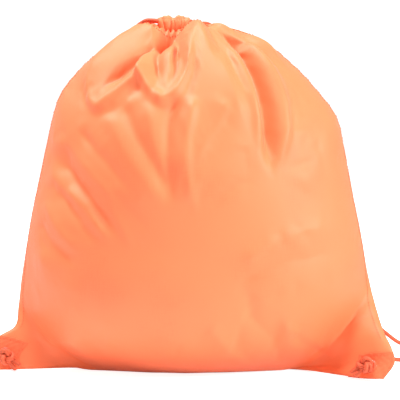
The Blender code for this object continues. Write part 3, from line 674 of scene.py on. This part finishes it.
# The front's folds, seen from the front: line in millimetres, height, widths to its left and right.
FRONT_FOLDS = (
    # the puffed fold that falls from the mouth to the left shoulder: its back, its hollow and its rim
    (((-26, 319), (-45, 311), (-63, 299), (-78, 285), (-90, 268), (-96, 250)), 7.0, 9, 10),
    (((-14, 311), (-28, 304), (-38, 297), (-53, 284), (-68, 268), (-80, 253)), -13.0, 8, 7),
    (
        ((-36, 284), (-43, 274), (-59, 263), (-73, 249), (-81, 243), (-88, 250), (-91, 266), (-86, 280)),
        6.5, 3.5, 6,
    ),
    (((-36, 268), (-56, 251), (-72, 237), (-88, 236)), -2.5, 4, 6),
    # the pocket beside it, a loop that opens upwards
    (((-26, 306), (-34, 300), (-41, 289), (-40, 273), (-32, 257), (-21, 250)), 9.0, 4, 3.5),
    (((-32, 258), (-21, 250), (-9, 259), (-1, 273), (3, 292), (0, 306)), 8.0, 5, 4),
    (((-10, 312), (-22, 303), (-29, 290), (-28, 275), (-22, 262)), -12.0, 5, 5),
    (((-2, 316), (-10, 311), (-20, 307), (-36, 300), (-48, 290)), -11.0, 5, 5),
    (((-6, 312), (-8, 300), (-10, 286)), -7.0, 5, 4),
    # the broad petal down the middle and the narrow hollow to its right
    (((0, 317), (16, 303), (32, 278), (44, 246), (52, 214)), 7.5, 20, 16),
    (((30, 312), (48, 294), (62, 272), (71, 246), (76, 214), (78, 172)), -17.0, 4.0, 4.4),
    (((46, 306), (66, 288), (80, 262), (87, 236), (88, 210), (82, 186)), 6.5, 3.5, 8),
    (((36, 296), (50, 276), (60, 248), (66, 218), (70, 196)), 4.5, 9, 3.5),
    # creases at the upper right
    (((20, 319), (48, 313), (72, 297), (88, 280)), 6.5, 6, 4),
    (((26, 312), (52, 303), (74, 287), (92, 264)), -5.0, 4, 6),
    (((52, 317), (80, 303), (104, 282), (120, 260)), 3.5, 9, 9),
    (((84, 280), (98, 256), (106, 226)), -3.0, 8, 8),
    # long ridges and hollows down the middle
    (((8, 256), (1, 226), (-2, 200), (3, 168), (14, 132)), 5.0, 4, 12),
    (((38, 250), (26, 226), (12, 202), (4, 176)), 2.8, 4, 12),
    (((-10, 258), (-16, 222), (-14, 184), (-7, 148)), -6.5, 8, 7),
    (((-36, 250), (-29, 214), (-20, 188), (-12, 162)), 1.6, 6, 6),
    (((-60, 250), (-43, 214), (-25, 180), (-12, 146)), -5.0, 9, 8),
    (((-76, 244), (-61, 214), (-42, 184), (-26, 158), (-14, 132)), 1.8, 9, 8),
    (((50, 208), (58, 176), (56, 148)), -2.5, 12, 12),
    # the left middle: a broad hollow on the slant, finely crumpled
    (((-120, 214), (-98, 172), (-70, 134), (-34, 96)), -7.0, 22, 22),
    (((-104, 226), (-84, 204), (-62, 180), (-42, 154)), -3.5, 6, 5.7),
    (((-112, 212), (-92, 188), (-74, 166), (-58, 142)), 2.4, 3.75, 5.7),
    (((-122, 196), (-100, 172), (-78, 146), (-62, 120)), -3.9, 6, 5.7),
    (((-112, 170), (-96, 156), (-80, 134), (-70, 114)), 2.8, 3.5, 4.75),
    (((-128, 178), (-108, 152), (-92, 130), (-82, 106)), -3.1, 4.5, 5.7),
    (((-92, 168), (-74, 150), (-56, 124), (-44, 100)), 2.4, 4.5, 5.7),
    (((-132, 158), (-114, 130), (-98, 108)), 2.4, 3.75, 5.7),
    (((-136, 140), (-116, 112), (-96, 92)), -2.8, 4.5, 6.65),
    (((-70, 168), (-48, 144), (-28, 116), (-14, 94)), -1.9, 6.75, 7.6),
    (((-134, 204), (-124, 182), (-110, 160)), 1.9, 5.25, 6.65),
    (((-138, 112), (-116, 84), (-92, 68)), 1.9, 6.75, 8.55),
    # the smooth right side's faint wrinkles
    (((50, 98), (80, 118), (114, 130), (148, 134)), 3.0, 6, 9),
    (((46, 80), (84, 98), (124, 108), (154, 110)), -2.5, 8, 6),
    (((58, 62), (100, 76), (140, 84)), 2.0, 9, 9),
    (((100, 228), (104, 190), (114, 154)), 2.5, 12, 14),
    (((118, 214), (129, 180), (135, 150)), -2.5, 9, 9),
    # puckers by the corners and along the ground
    (((176, 84), (160, 52), (142, 28), (124, 4)), 4.0, 20, 14),
    (((54, 54), (74, 34), (94, 18)), -3.0, 9, 8),
    (((86, 46), (110, 30), (134, 16)), 3.0, 8, 8),
    (((96, 34), (122, 20), (146, 10)), -3.0, 6, 6),
    (((20, 40), (34, 26), (44, 14)), 2.0, 9, 9),
    (((-154, 78), (-141, 50), (-127, 30), (-110, 8)), 4.0, 14, 20),
    (((-160, 28), (-138, 20), (-118, 12), (-100, 6)), -2.5, 7, 6),
    (((-158, 42), (-134, 34), (-106, 29), (-78, 28)), 3.0, 8, 8),
    (((-72, 24), (-48, 20), (-20, 24)), -2.0, 8, 8),
)
# The back's, on the same plane.
BACK_FOLDS = (
    (((-36, 314), (-60, 284), (-78, 244), (-88, 196)), -8.0, 6, 7),
    (((-26, 312), (-46, 280), (-60, 240), (-68, 190)), 5.5, 6, 8),
    (((-24, 310), (-34, 270), (-42, 228), (-44, 172)), -8.0, 5, 6),
    (((-16, 312), (-22, 270), (-26, 226), (-26, 176)), 5.0, 5, 8),
    (((-10, 310), (-10, 262), (-6, 214), (-10, 160)), -8.5, 5, 6),
    (((0, 312), (6, 266), (12, 220), (10, 176)), 6.0, 6, 8),
    (((10, 312), (26, 274), (38, 232), (42, 180)), -8.0, 5, 6),
    (((18, 314), (44, 284), (64, 244), (74, 198)), 6.0, 6, 8),
    (((30, 314), (62, 288), (88, 250), (100, 204)), -5.5, 7, 8),
    (((-124, 190), (-100, 150), (-74, 116), (-50, 96)), -4.0, 8, 9),
    (((-132, 160), (-108, 124), (-84, 96)), 3.0, 7, 8),
    (((126, 190), (104, 150), (78, 112), (52, 92)), -4.0, 8, 9),
    (((134, 150), (110, 116), (84, 92)), 3.0, 7, 8),
    (((-20, 150), (-4, 120), (22, 100)), -3.0, 8, 9),
    (((-146, 72), (-120, 50), (-84, 34)), -4.0, 8, 9),
    (((146, 72), (118, 52), (80, 36)), -4.0, 8, 9),
)

COLUMNS = 128  # across a panel
ROWS = 140  # up it
PLEATS = 13  # at the mouth, in each panel
PLEAT_DEPTH = 0.0020
MOUTH_LUMPS = ((-0.028, 0.012, 0.0080), (0.007, 0.015, 0.0095))  # where the cloth puffs up before the mouth
PUCKER = 0.0006  # how far the cloth ripples beside the side seams
PUCKER_PITCH = 0.0115
WRINKLE = 0.0016
OFF_GROUND = 0.0002  # the lowest that the panels go
SMOOTHING = 0.5


def wrinkle_noise(side, across, up):
    """Small creases all over: sharp-backed noise, stronger on the slack left than on the full right."""
    out = np.zeros(across.shape)
    for k in np.ndindex(across.shape):
        x, y = across[k] * FLAT_WIDTH / 2, up[k] * FLAT_HEIGHT
        bent = Vector((x * 19 + y * 7, y * 13 - x * 5, 3.1 * side))
        coarse = 1.0 - abs(noise.noise(bent)) * 2.2
        fine = 1.0 - abs(noise.noise(bent * 2.3 + Vector((7.0, 3.0, 1.0)))) * 2.2
        out[k] = 0.7 * coarse + 0.3 * fine - 0.55
    slack = 0.40 + 0.60 * (1.0 - ease(-0.45, 0.35, across))
    return WRINKLE * out * slack


def even_across(side, up):
    """The values of across that divide a row of the skin into equal lengths."""
    tries = np.linspace(-1.0, 1.0, 601)
    distances = walked(skin(side, tries, up))
    return np.interp(np.linspace(0.0, distances[-1], COLUMNS + 1), distances, tries)


def sculpted_panel(side):
    """A panel's grid of places, rows from the bottom up, with its folds worked in."""
    ups = np.linspace(0.0, 1.0, ROWS + 1)
    acrosses = np.array([even_across(side, up) for up in ups])
    grid_up = np.repeat(ups[:, None], COLUMNS + 1, axis=1)
    places = skin(side, acrosses, grid_up)
    normals = skin_normal(side, acrosses, grid_up)
    x, z = seen(places)
    height = np.zeros(x.shape)
    for line, stands, left, right in FRONT_FOLDS if side < 0 else BACK_FOLDS:
        height += ridge(line, stands, left, right, x, z)
    reach = np.abs(acrosses)
    free = (1.0 - ease(0.80, 0.99, reach)) * (1.0 - ease(0.93, 0.99, grid_up)) * ease(0.03, 0.12, grid_up)
    in_corner = ease(0.62, 0.78, reach) * (1.0 - ease(0.09, 0.16, grid_up))
    height *= free * (1.0 - in_corner)
    crumpled = wrinkle_noise(side, acrosses, grid_up)
    height += crumpled * (0.35 + 0.65 * free) * (1.0 - 0.8 * in_corner) * ease(0.0, 0.05, grid_up)
    pucker = np.sin(math.tau * (grid_up * FLAT_HEIGHT / PUCKER_PITCH + 0.35 * np.sin(23.0 * grid_up)))
    by_seam = ease(0.86, 0.97, reach) * (1.0 - ease(0.98, 1.0, reach))
    height += PUCKER * pucker * by_seam * ease(0.12, 0.2, grid_up)
    share = np.linspace(0.0, 1.0, COLUMNS + 1)[None, :]
    pleats = np.sin(math.tau * PLEATS * share + 0.7 * np.sin(math.tau * 3 * share + side))
    height += PLEAT_DEPTH * pleats * ease(0.90, 1.0, grid_up) ** 1.5
    places = places + normals * height[..., None]
    by_mouth = ease(0.78, 0.92, grid_up) * (1.0 - ease(0.955, 0.99, grid_up)) * (1.0 - reach**4)
    for middle, wide, rises in MOUTH_LUMPS if side < 0 else ():
        bump = rises * np.exp(-(((x - middle) / wide) ** 2)) * by_mouth
        places[..., 2] += bump
        places[..., 1] -= 0.35 * bump
    places[..., 2] = np.maximum(places[..., 2], OFF_GROUND)
    return places


def sculpted_sack():
    """Both panels' grids, joined along the sides and the bottom."""
    front, back = sculpted_panel(-1), sculpted_panel(1)
    seam = np.zeros(front.shape[:2], bool)
    seam[0, :] = seam[:, 0] = seam[:, -1] = True
    front[seam] = back[seam] = (front[seam] + back[seam]) / 2
    return front, back, seam


def flat_grid(rows, columns):
    """Where a panel's points lie on the flat cloth."""
    across, up = np.meshgrid(np.linspace(-0.5, 0.5, columns), np.linspace(0.0, 1.0, rows))
    return np.stack((across * FLAT_WIDTH, up * FLAT_HEIGHT), axis=-1)


SIM_STEP = 2  # the simulated grid takes every second point
SIM_FRAMES = 24
SIM_SPARE = (1.05, 1.01)  # spare cloth, across and up
HELD_LEAST = 0.02
MOVE_CAP = 0.010
CLOTH_SETTINGS = {
    "quality": 5,
    "mass": 0.00003,
    "tension_stiffness": 5.0,
    "compression_stiffness": 6.0,
    "shear_stiffness": 0.8,
    "bending_stiffness": 0.001,
    "tension_damping": 0.1,
    "compression_damping": 0.1,
    "shear_damping": 0.1,
    "bending_damping": 0.01,
    "air_damping": 0.15,
    "pin_stiffness": 0.2,
    "use_pressure": True,
    "uniform_pressure_force": 7.0,
}


def held_share(flat):
    """How firmly each point of the cloth keeps its place: 1 at the mouth and corners, little elsewhere."""
    reach = np.abs(flat[:, 0]) / (FLAT_WIDTH / 2)
    up = flat[:, 1] / FLAT_HEIGHT
    corner = ease(0.66, 0.78, reach) * (1.0 - ease(0.10, 0.20, up))
    mouth = ease(0.955, 0.985, up)
    ground = 1.0 - ease(0.06, 0.13, up)
    seam = ease(0.93, 1.0, reach) * 0.45
    return np.maximum.reduce([corner, mouth, 0.9 * ground, seam, np.full(up.shape, HELD_LEAST)])


def simulate_cloth(front, back, seam):
    """Lets the cloth settle into wrinkles of its own: how far each point of the two panels moves.

    The cloth knows its flat size, is held at its mouth, corners and base, and is pressed out from inside.
    """
    front, back, seam = (grid[::SIM_STEP, ::SIM_STEP] for grid in (front, back, seam))
    rows, columns = seam.shape
    front_index = np.arange(seam.size).reshape(seam.shape)
    back_index = front_index.copy()
    back_index[~seam] = seam.size + np.arange((~seam).sum())
    before = np.concatenate([front.reshape(-1, 3), back[~seam]])
    flat = flat_grid(rows, columns)
    flat = np.concatenate([flat.reshape(-1, 2), flat[~seam]])
    faces = panel_faces(columns - 1, rows - 1, front_index)
    faces += turned_over(panel_faces(columns - 1, rows - 1, back_index))
    whole = mesh_object("whole_cloth", before, faces, CLOTH_MATERIAL, body=None)
    whole.shape_key_add(name="Basis")
    cut = whole.shape_key_add(name="cut")
    spread = np.column_stack((flat[:, 0] * SIM_SPARE[0], np.zeros(len(flat)), flat[:, 1] * SIM_SPARE[1]))
    cut.data.foreach_set("co", spread.ravel())
    cut.value = 0.0
    group = whole.vertex_groups.new(name="held")
    for k, weight in enumerate(held_share(flat)):
        group.add([k], float(weight), "REPLACE")
    cloth = whole.modifiers.new("cloth", "CLOTH")
    settings = cloth.settings
    for key, value in CLOTH_SETTINGS.items():
        setattr(settings, key, value)
    settings.vertex_group_mass = "held"
    settings.rest_shape_key = cut
    settings.effector_weights.gravity = 0.0
    cloth.collision_settings.use_collision = False
    cloth.point_cache.frame_start, cloth.point_cache.frame_end = 1, SIM_FRAMES
    for at in range(1, SIM_FRAMES + 1):
        bpy.context.scene.frame_set(at)
    settled = whole.evaluated_get(bpy.context.evaluated_depsgraph_get()).to_mesh()
    after = np.zeros(len(settled.vertices) * 3)
    settled.vertices.foreach_get("co", after)
    bpy.data.objects.remove(whole, do_unlink=True)
    bpy.context.scene.frame_set(1)
    moved = after.reshape(-1, 3) - before
    length = np.linalg.norm(moved, axis=1, keepdims=True)
    moved *= MOVE_CAP * np.tanh(length / MOVE_CAP) / np.maximum(length, 1e-9)
    return finer_grid(moved[front_index]), finer_grid(moved[back_index])


def finer_grid(values):
    """The simulated grid's values at every point of the full one."""
    for axis in (0, 1):
        at = np.arange(0, (values.shape[axis] - 1) * SIM_STEP + 1) / SIM_STEP
        low = np.minimum(at.astype(int), values.shape[axis] - 2)
        share = (at - low).reshape((-1, 1, 1) if axis == 0 else (1, -1, 1))
        values = np.take(values, low, axis) * (1.0 - share) + np.take(values, low + 1, axis) * share
    return values


def smoothed(grid):
    """Evens a panel's grid a little, away from its edges."""
    middle = (grid[:-2, 1:-1] + grid[2:, 1:-1] + grid[1:-1, :-2] + grid[1:-1, 2:]) / 4
    grid[1:-1, 1:-1] += (middle - grid[1:-1, 1:-1]) * SMOOTHING
    return grid


def outward(side, grid):
    """A panel grid's outward normals."""
    return unit(np.cross(np.gradient(grid, axis=1), np.gradient(grid, axis=0)) * -side)


CORD_BED = 0.0024  # how far under a strand's middle the cloth lies
BED_OPENS = 60.0  # how steeply the cloth may rise beside the strand, per metre of offset squared
BED_REACH = 0.014
BED_DEEPEST = 0.008  # cloth further out than this is on the strand's other side
BED_ROWS = (0.16, 0.97)


def under_cords(side, grid):
    """Presses the cloth down wherever it would come above a strand that lies on it."""
    centres = np.concatenate([along_route(strand_route(name), 300) for name in STRAND_ROUTES])
    tree = kdtree.KDTree(len(centres))
    for k, centre in enumerate(centres):
        tree.insert(centre, k)
    tree.balance()
    normals = outward(side, grid)
    pressed = grid.copy()
    for j, i in np.ndindex(grid.shape[:2]):
        if not BED_ROWS[0] < j / ROWS < BED_ROWS[1]:
            continue
        most = 0.0
        for centre, _, _ in tree.find_range(grid[j, i], BED_REACH):
            offset = grid[j, i] - np.array(centre)
            height = offset @ normals[j, i]
            aside = max(offset @ offset - height * height, 0.0)
            if height < BED_DEEPEST:
                most = max(most, height - (BED_OPENS * aside - CORD_BED))
        pressed[j, i] -= normals[j, i] * most
    return pressed


def make_panels():
    """The two visible panels; returns their grids by side."""
    front, back, seam = sculpted_sack()
    front_moved, back_moved = simulate_cloth(front, back, seam)
    front, back = front + front_moved, back + back_moved
    order = np.arange(seam.size).reshape(seam.shape)
    grids = {}
    for name, grid, side in (("front_cloth", front, -1), ("back_cloth", back, 1)):
        grid = smoothed(grid)
        edge = grid.copy()
        grid = under_cords(side, grid)
        for held in (np.s_[0], np.s_[-1], np.s_[:, 0], np.s_[:, -1]):
            grid[held] = edge[held]
        grid[..., 2] = np.maximum(grid[..., 2], OFF_GROUND)
        faces = panel_faces(COLUMNS, ROWS, order)
        outside = turned_over(faces) if side > 0 else faces
        item = mesh_object(name, grid.reshape(-1, 3), outside, CLOTH_MATERIAL)
        flat_layer(item, flat_grid(ROWS + 1, COLUMNS + 1).reshape(-1, 2))
        finer = item.modifiers.new("finer", "SUBSURF")
        finer.levels = finer.render_levels = 1
        thicken(item, VISIBLE_CLOTH, -1.0)
        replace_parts(item, name.replace("cloth", "panel"))
        grids[side] = grid
    return grids


# ---------------------------------------------------------------- the gathered casings

RUFFLE_HALF_LENGTH = 0.0150
RUFFLE_HALF_WIDTH = 0.0036
RUFFLE_BOTTOM = 0.3100
RUFFLE_TOP = 0.3268
RUFFLE_STEPS = (170, 36)  # along it and round it
RUFFLE_DROPS = (0.0034, 0.0030, 0.0012)  # of its top between folds, at its ends and in waves
RUFFLE_SEWN = (0.3235, 0.0012)  # the height where it is drawn in, and how far that reaches
RUFFLE_FLARE = 0.004  # how high up its foot is wider
RUFFLE_SWAY = 0.0007
RUFFLE_INSET = 0.0002
RUFFLE_WEAVE = 6.0  # cloth gathered into each length of ruffle
# The ruffle's folds along its length: place -1..1, how wide, how deep.
RUFFLE_FOLDS = (
    (-0.8, 0.2, 0.8), (-0.42, 0.24, 1.0), (-0.02, 0.15, 0.6), (0.3, 0.22, 1.0), (0.6, 0.12, 0.5),
    (0.84, 0.18, 0.8),
)


def make_casings():
    """The hem channels, bunched up on the cords: soft sleeves of uneven folds that fan out upwards."""
    steps, round_steps = RUFFLE_STEPS
    between_folds, at_ends, in_waves = RUFFLE_DROPS
    for face, side in FACES:
        along = np.linspace(-1.0, 1.0, steps + 1)[:, None]
        turn = np.linspace(0.0, math.tau, round_steps, endpoint=False)[None, :]
        stands = np.zeros(along.shape)
        for place, wide, deep in RUFFLE_FOLDS:
            away = np.abs(along * -side - place) / wide
            stands = np.maximum(stands, deep * np.maximum(1.0 - away**2, 0.0) ** 0.6)
        end = np.sqrt(np.maximum(1.0 - along**8, 0.0))
        half = RUFFLE_HALF_WIDTH * (0.42 + 0.62 * stands) * (0.35 + 0.65 * end)
        top = RUFFLE_TOP - between_folds * (1.0 - stands) - at_ends * (1.0 - end)
        top = top - in_waves * np.abs(np.sin(3.7 * along + side))
        middle, rise = (top + RUFFLE_BOTTOM) / 2, (top - RUFFLE_BOTTOM) / 2
        squared = np.sign(np.sin(turn)) * np.abs(np.sin(turn)) ** 0.85
        z = middle + rise * squared
        fan = 0.80 + 0.22 * ease(RUFFLE_BOTTOM, RUFFLE_TOP, z)
        sway = RUFFLE_SWAY * np.sin(11.0 * along + 2.0 * side) * squared
        x = MOUTH.x + RUFFLE_HALF_LENGTH * along * fan + sway
        drawn_in = 0.20 * np.exp(-(((z - RUFFLE_SEWN[0]) / RUFFLE_SEWN[1]) ** 2))
        flared = 0.35 * np.exp(-(((z - RUFFLE_BOTTOM) / RUFFLE_FLARE) ** 2))
        y = side * (MOUTH_HALF_DEPTH - RUFFLE_INSET) + half * (1.0 - drawn_in + flared) * np.cos(turn)
        verts = np.stack(np.broadcast_arrays(x, y, z), axis=-1).reshape(-1, 3)
        faces = [(a, d, c, b) for a, b, c, d in ring_faces(steps + 1, round_steps, ends="open")]
        item = mesh_object(f"{face}_ruffle", verts, faces, CLOTH_MATERIAL)
        flat_layer(item, np.column_stack((verts[:, 0] * RUFFLE_WEAVE, verts[:, 2])))
        thicken(item, VISIBLE_CLOTH, 0.0)
        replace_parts(item, f"{face}_casing")


def make_drawcords():
    """Each drawcord's stretch through both casings, turning back at the far side."""
    for (corner, sign), level in zip(CORNERS, (LEFT_CORD_LEVEL, RIGHT_CORD_LEVEL)):
        exit_x = sign * (CASING_HALF_LENGTH + EXIT_ROOM)
        turn_x = -sign * (MOUTH_HALF_LENGTH - MOUTH_HALF_DEPTH)
        half = [(exit_x, -MOUTH_HALF_DEPTH), (exit_x / 2, -MOUTH_HALF_DEPTH), (0.0, -MOUTH_HALF_DEPTH)]
        turn = []
        for i in range(9):
            angle = math.pi * i / 8
            x = turn_x - sign * MOUTH_HALF_DEPTH * math.sin(angle)
            turn.append((x, -MOUTH_HALF_DEPTH * math.cos(angle)))
        line = half + turn + [(x, -y) for x, y in reversed(half)]
        tube = cord_tube([(MOUTH.x + x, y, level) for x, y in line])
        item = cord_object(f"{corner}_drawcord_braid", [tube], "sack")
        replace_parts(item, f"{corner}_drawcord")


# ---------------------------------------------------------------- corner patches, eyelets and knots

PATCH_THICKNESS = 0.0005
PATCH_LIFT = 0.0003
PATCH_STEPS = 28
STITCH_LENGTH = 0.0021
STITCH_PITCH = 0.0030
STITCH_RADIUS = 0.00026
STITCH_INSET = 0.0025
STITCH_SIDES = 6
STITCH_PROFILE = ((0.0, 0.25), (0.15, 0.8), (0.5, 1.0), (0.85, 0.8), (1.0, 0.25))  # along it, how wide
STITCH_AHEAD = 0.0003  # how far apart its direction is measured
PATCH_HEM = 0.00018  # how deep the stitches draw the patch in
PATCH_HEM_REACH = 0.0011  # how far beside them that reaches
PATCH_RIPPLE = 0.0002
PATCH_RIPPLE_TURNS = (900.0, 760.0)  # radians per metre, out and up
PATCH_ROUND = 0.00018
PATCH_BY_SEAM = 0.002  # how much further its outer edge is from the stitches' hollow
STITCH_WALK = 40  # points on each line of a patch's stitches
HEM_AT = 0.955  # share of the flat height where the hem is sewn
SEAM_ROW_COLUMN = 2  # of the panel's grid
SEAM_ROW_START = 16
SEWING_LIFT = 0.00012


def on_corner(side, sign, out, up):
    """A point on a corner, out and up in metres of flat cloth from the inner lower corner of its patch."""
    across = sign * (1.0 - (PATCH_SIZE - np.asarray(out, float)) / (FLAT_WIDTH / 2))
    share = np.asarray(up, float) / FLAT_HEIGHT
    across, share = np.broadcast_arrays(across, share)
    return skin(side, across, share), skin_normal(side, across, share)


def stitches(name, lines):
    """One piece of many short stitches, along lines of points with normals."""
    verts, faces = [], []
    angles = np.linspace(0.0, math.tau, STITCH_SIDES, endpoint=False)[:, None]
    for points, normals in lines:
        distances = walked(points)
        for k in range(int(distances[-1] / STITCH_PITCH)):
            start = (k + 0.2) * STITCH_PITCH
            faces += ring_faces(len(STITCH_PROFILE), STITCH_SIDES, len(verts))
            for share, wide in STITCH_PROFILE:
                at = start + share * STITCH_LENGTH
                place = at_distance(at, distances, points)
                normal = unit(at_distance(at, distances, normals))
                ahead = at_distance(at + STITCH_AHEAD, distances, points) - place
                if np.linalg.norm(ahead) < 1e-7:
                    ahead = place - at_distance(at - STITCH_AHEAD, distances, points)
                aside = unit(np.cross(ahead, normal))
                raised = place + normal * STITCH_RADIUS * (0.9 * math.sin(math.pi * share))
                across = aside[None, :] * np.cos(angles) + normal[None, :] * np.sin(angles)
                verts += list(raised + across * STITCH_RADIUS * wide)
    return mesh_object(name, verts, faces, THREAD_MATERIAL)


def make_patches():
    """The doubled cloth on each corner, front and back, with its row of stitches."""
    steps = np.linspace(0.0, PATCH_SIZE, PATCH_STEPS + 1)
    out, up = np.meshgrid(steps, steps)
    faces = panel_faces(PATCH_STEPS, PATCH_STEPS, np.arange(out.size).reshape(out.shape))
    edge = np.minimum.reduce([out, PATCH_SIZE - up, PATCH_SIZE - out + PATCH_BY_SEAM])
    hem = PATCH_HEM * np.exp(-(((edge - STITCH_INSET) / PATCH_HEM_REACH) ** 2))
    out_turns, up_turns = PATCH_RIPPLE_TURNS
    ripple = PATCH_RIPPLE * np.sin(out * out_turns) * np.sin(up * up_turns)
    lift = PATCH_LIFT + PATCH_THICKNESS - hem + ripple
    low, high = STITCH_INSET, PATCH_SIZE - STITCH_INSET
    walk = np.linspace(low, high, STITCH_WALK)
    inner, outer = np.full(STITCH_WALK, low), np.full(STITCH_WALK, high)
    for (corner, sign), (face, side) in itertools.product(CORNERS, FACES):
        name = f"{corner}_{face}_patch"
        places, normals = on_corner(side, sign, out, up)
        grid = places + normals * lift[..., None]
        grid[..., 2] = np.maximum(grid[..., 2], 0.0)
        outside = turned_over(faces) if side * sign > 0 else faces
        item = mesh_object(f"{name}_cloth", grid.reshape(-1, 3), outside, PATCH_MATERIAL)
        flat_layer(item, np.column_stack((out.ravel(), up.ravel())))
        thicken(item, PATCH_THICKNESS, -1.0)
        round_edge = item.modifiers.new("round_edge", "BEVEL")
        round_edge.width = PATCH_ROUND
        round_edge.segments = 2
        round_edge.limit_method = "ANGLE"
        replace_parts(item, name)
        lines = []
        for outs, ups in ((inner, walk), (walk, outer), (outer, walk)):
            line, line_normals = on_corner(side, sign, outs, ups)
            lines.append((line + line_normals * (PATCH_LIFT + PATCH_THICKNESS), line_normals))
        stitches(f"{name}_stitches", lines)


def make_seam_stitches(grids):
    """The hem's row under each casing, and the row of stitches beside each side seam."""
    for side, grid in grids.items():
        normals = outward(side, grid)
        lines = []
        row = int(HEM_AT * ROWS)
        lines.append((grid[row, 3:-3], normals[row, 3:-3]))
        for column in (SEAM_ROW_COLUMN, COLUMNS - SEAM_ROW_COLUMN):
            lines.append((grid[SEAM_ROW_START:row, column], normals[SEAM_ROW_START:row, column]))
        name = "front_sewing" if side < 0 else "back_sewing"
        stitches(name, [(line + line_normals * SEWING_LIFT, line_normals) for line, line_normals in lines])


def turned_to(axis, place):
    """The matrix that puts a shape made along +Z at a place, along an axis."""
    turn = Vector(axis).to_track_quat("Z", "Y").to_matrix().to_4x4()
    return Matrix.Translation(Vector(place)) @ turn


EYELET_BORE = 0.0043
EYELET_FLANGE = 0.0068
EYELET_STEPS = 48
FLANGE_STEPS = 14
FLANGE_RISE = (0.0009, 0.0006)  # of the rolled flange's inner and outer half
FLANGE_DEEP = 0.0004  # how far it sinks into the cloth
SHANK_LAP = 0.0002  # how far the eyelet's shank reaches past the middle


def make_eyelets():
    """Each corner's eyelet and, behind, its washer: rolled flanges close on the cloth."""
    stack = GAP / 2 + CLOTH * LAYER_ROOM + PATCH_LIFT + PATCH_THICKNESS
    middle, half = (EYELET_BORE + EYELET_FLANGE) / 2, (EYELET_FLANGE - EYELET_BORE) / 2
    angles = np.linspace(0.0, math.tau, EYELET_STEPS, endpoint=False)
    for corner, sign in CORNERS:
        matrix = turned_to(eyelet_frame(sign)[1], eyelet_frame(sign)[0])
        for name, face in ((f"{corner}_eyelet", 1), (f"{corner}_eyelet_washer", -1)):
            section = []
            for i in range(FLANGE_STEPS + 1):
                angle = math.pi * i / FLANGE_STEPS
                rise = FLANGE_RISE[0] if i < FLANGE_STEPS / 2 else FLANGE_RISE[1]
                section.append((middle - half * math.cos(angle), stack + rise * math.sin(angle)))
            section.append((EYELET_FLANGE, stack - FLANGE_DEEP))
            section.append((EYELET_BORE, -SHANK_LAP if face > 0 else stack - FLANGE_DEEP))
            verts = [
                matrix @ Vector((r * math.cos(a), r * math.sin(a), face * h)) for a in angles for r, h in section
            ]
            faces = ring_faces(EYELET_STEPS, len(section), ends="joined")
            faces = turned_over(faces) if face > 0 else faces
            item = mesh_object(f"{name}_ring", verts, faces, EYELET_MATERIAL)
            item.data.set_sharp_from_angle(angle=math.radians(50))
            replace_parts(item, name)


KNOT_SIZE = 0.00205  # of the trefoil that each cord makes
KNOT_BULGE = 0.0027
# Each cord's trefoil in the knot: its size, how far it is turned, how far ahead of the knot's middle it is.
KNOT_LOOPS = ((KNOT_SIZE, 0.35, 0.0012), (KNOT_SIZE * 0.86, 1.25, -0.0016))
SHANK_SHORT = 0.003  # a shank ends this far behind the knot's middle
END_START = 0.0088
END_HIDDEN = 0.005  # how much of a cord's end is inside the knot
END_LENGTH = 0.0062
END_SPREAD = 0.00225
END_FLARE = 0.0006


def trefoil(size, bulge, turned, centre, right, up, ahead):
    """A closed overhand knot's line, facing ahead."""
    t = np.linspace(0.0, math.tau, 150)
    x = size * (np.sin(t) + 2 * np.sin(2 * t))
    y = size * (np.cos(t) - 2 * np.cos(2 * t))
    c, s = math.cos(turned), math.sin(turned)
    across, upward = c * x - s * y, s * x + c * y
    return centre + across[:, None] * right + upward[:, None] * up - bulge * np.sin(3 * t)[:, None] * ahead


def make_knots():
    """In front of each eyelet both cords are tied in one knot, with their two melted ends sticking out."""
    for corner, sign in CORNERS:
        body = f"{corner}_knot"
        place, axis = eyelet_frame(sign)
        level = level_outwards(sign)
        up = unit(np.cross(axis, level))
        up = up if up[2] > 0 else -up
        middle = place + axis * KNOT_FORWARD - up * KNOT_DROOP
        tubes = [
            cord_tube(trefoil(size, KNOT_BULGE, turned, middle + axis * ahead, level, up, axis))
            for size, turned, ahead in KNOT_LOOPS
        ]
        for letter in ("a", "b"):
            behind = through_eyelet(sign, letter, -SHANK_BACK)
            ahead = through_eyelet(sign, letter, KNOT_FORWARD - SHANK_SHORT)
            tubes.append(cord_tube(np.linspace(behind, ahead, 6)))
        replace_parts(cord_object(f"{corner}_overhand_knot", tubes, body), body)
        away = unit(-level - up)
        aside = np.cross(axis, away)
        for letter, shift in (("a", 1), ("b", -1)):
            start = middle + away * (END_START - END_HIDDEN) + aside * (shift * END_SPREAD * 0.7)
            bent = middle + away * END_START + aside * (shift * END_SPREAD)
            tip = bent + away * END_LENGTH + aside * (shift * END_FLARE) + axis * (shift * END_FLARE)
            tube = cord_tube([start, bent, tip], round_tip=True)
            end = cord_object(f"{corner}_cord_tip_{letter}", [tube], body)
            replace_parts(end, f"{corner}_cord_end_{letter}")


def dress_inside():
    """The turned seam edges stay as the CAD has them, in the cloth's overlocked finish."""
    for name in ("left_side_seam", "right_side_seam", "bottom_seam"):
        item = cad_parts[name]
        item.data.materials.clear()
        item.data.materials.append(THREAD_MATERIAL)


# ---------------------------------------------------------------- making everything

STRAND_POINTS = 72


def make_strands():
    """The free strands, each a braided cord along its own route."""
    for name in STRAND_ROUTES:
        corner = name.split("_")[0]
        points = along_route(strand_route(name), STRAND_POINTS)
        points[:, 2] = np.maximum(points[:, 2], CORD_RADIUS)
        tube = cord_tube(points)
        item = cord_object(f"{name}_braid", [tube], f"{corner}_strap")
        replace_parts(item, name)


make_strands()
make_seam_stitches(make_panels())
make_casings()
make_drawcords()
make_patches()
make_eyelets()
make_knots()
dress_inside()
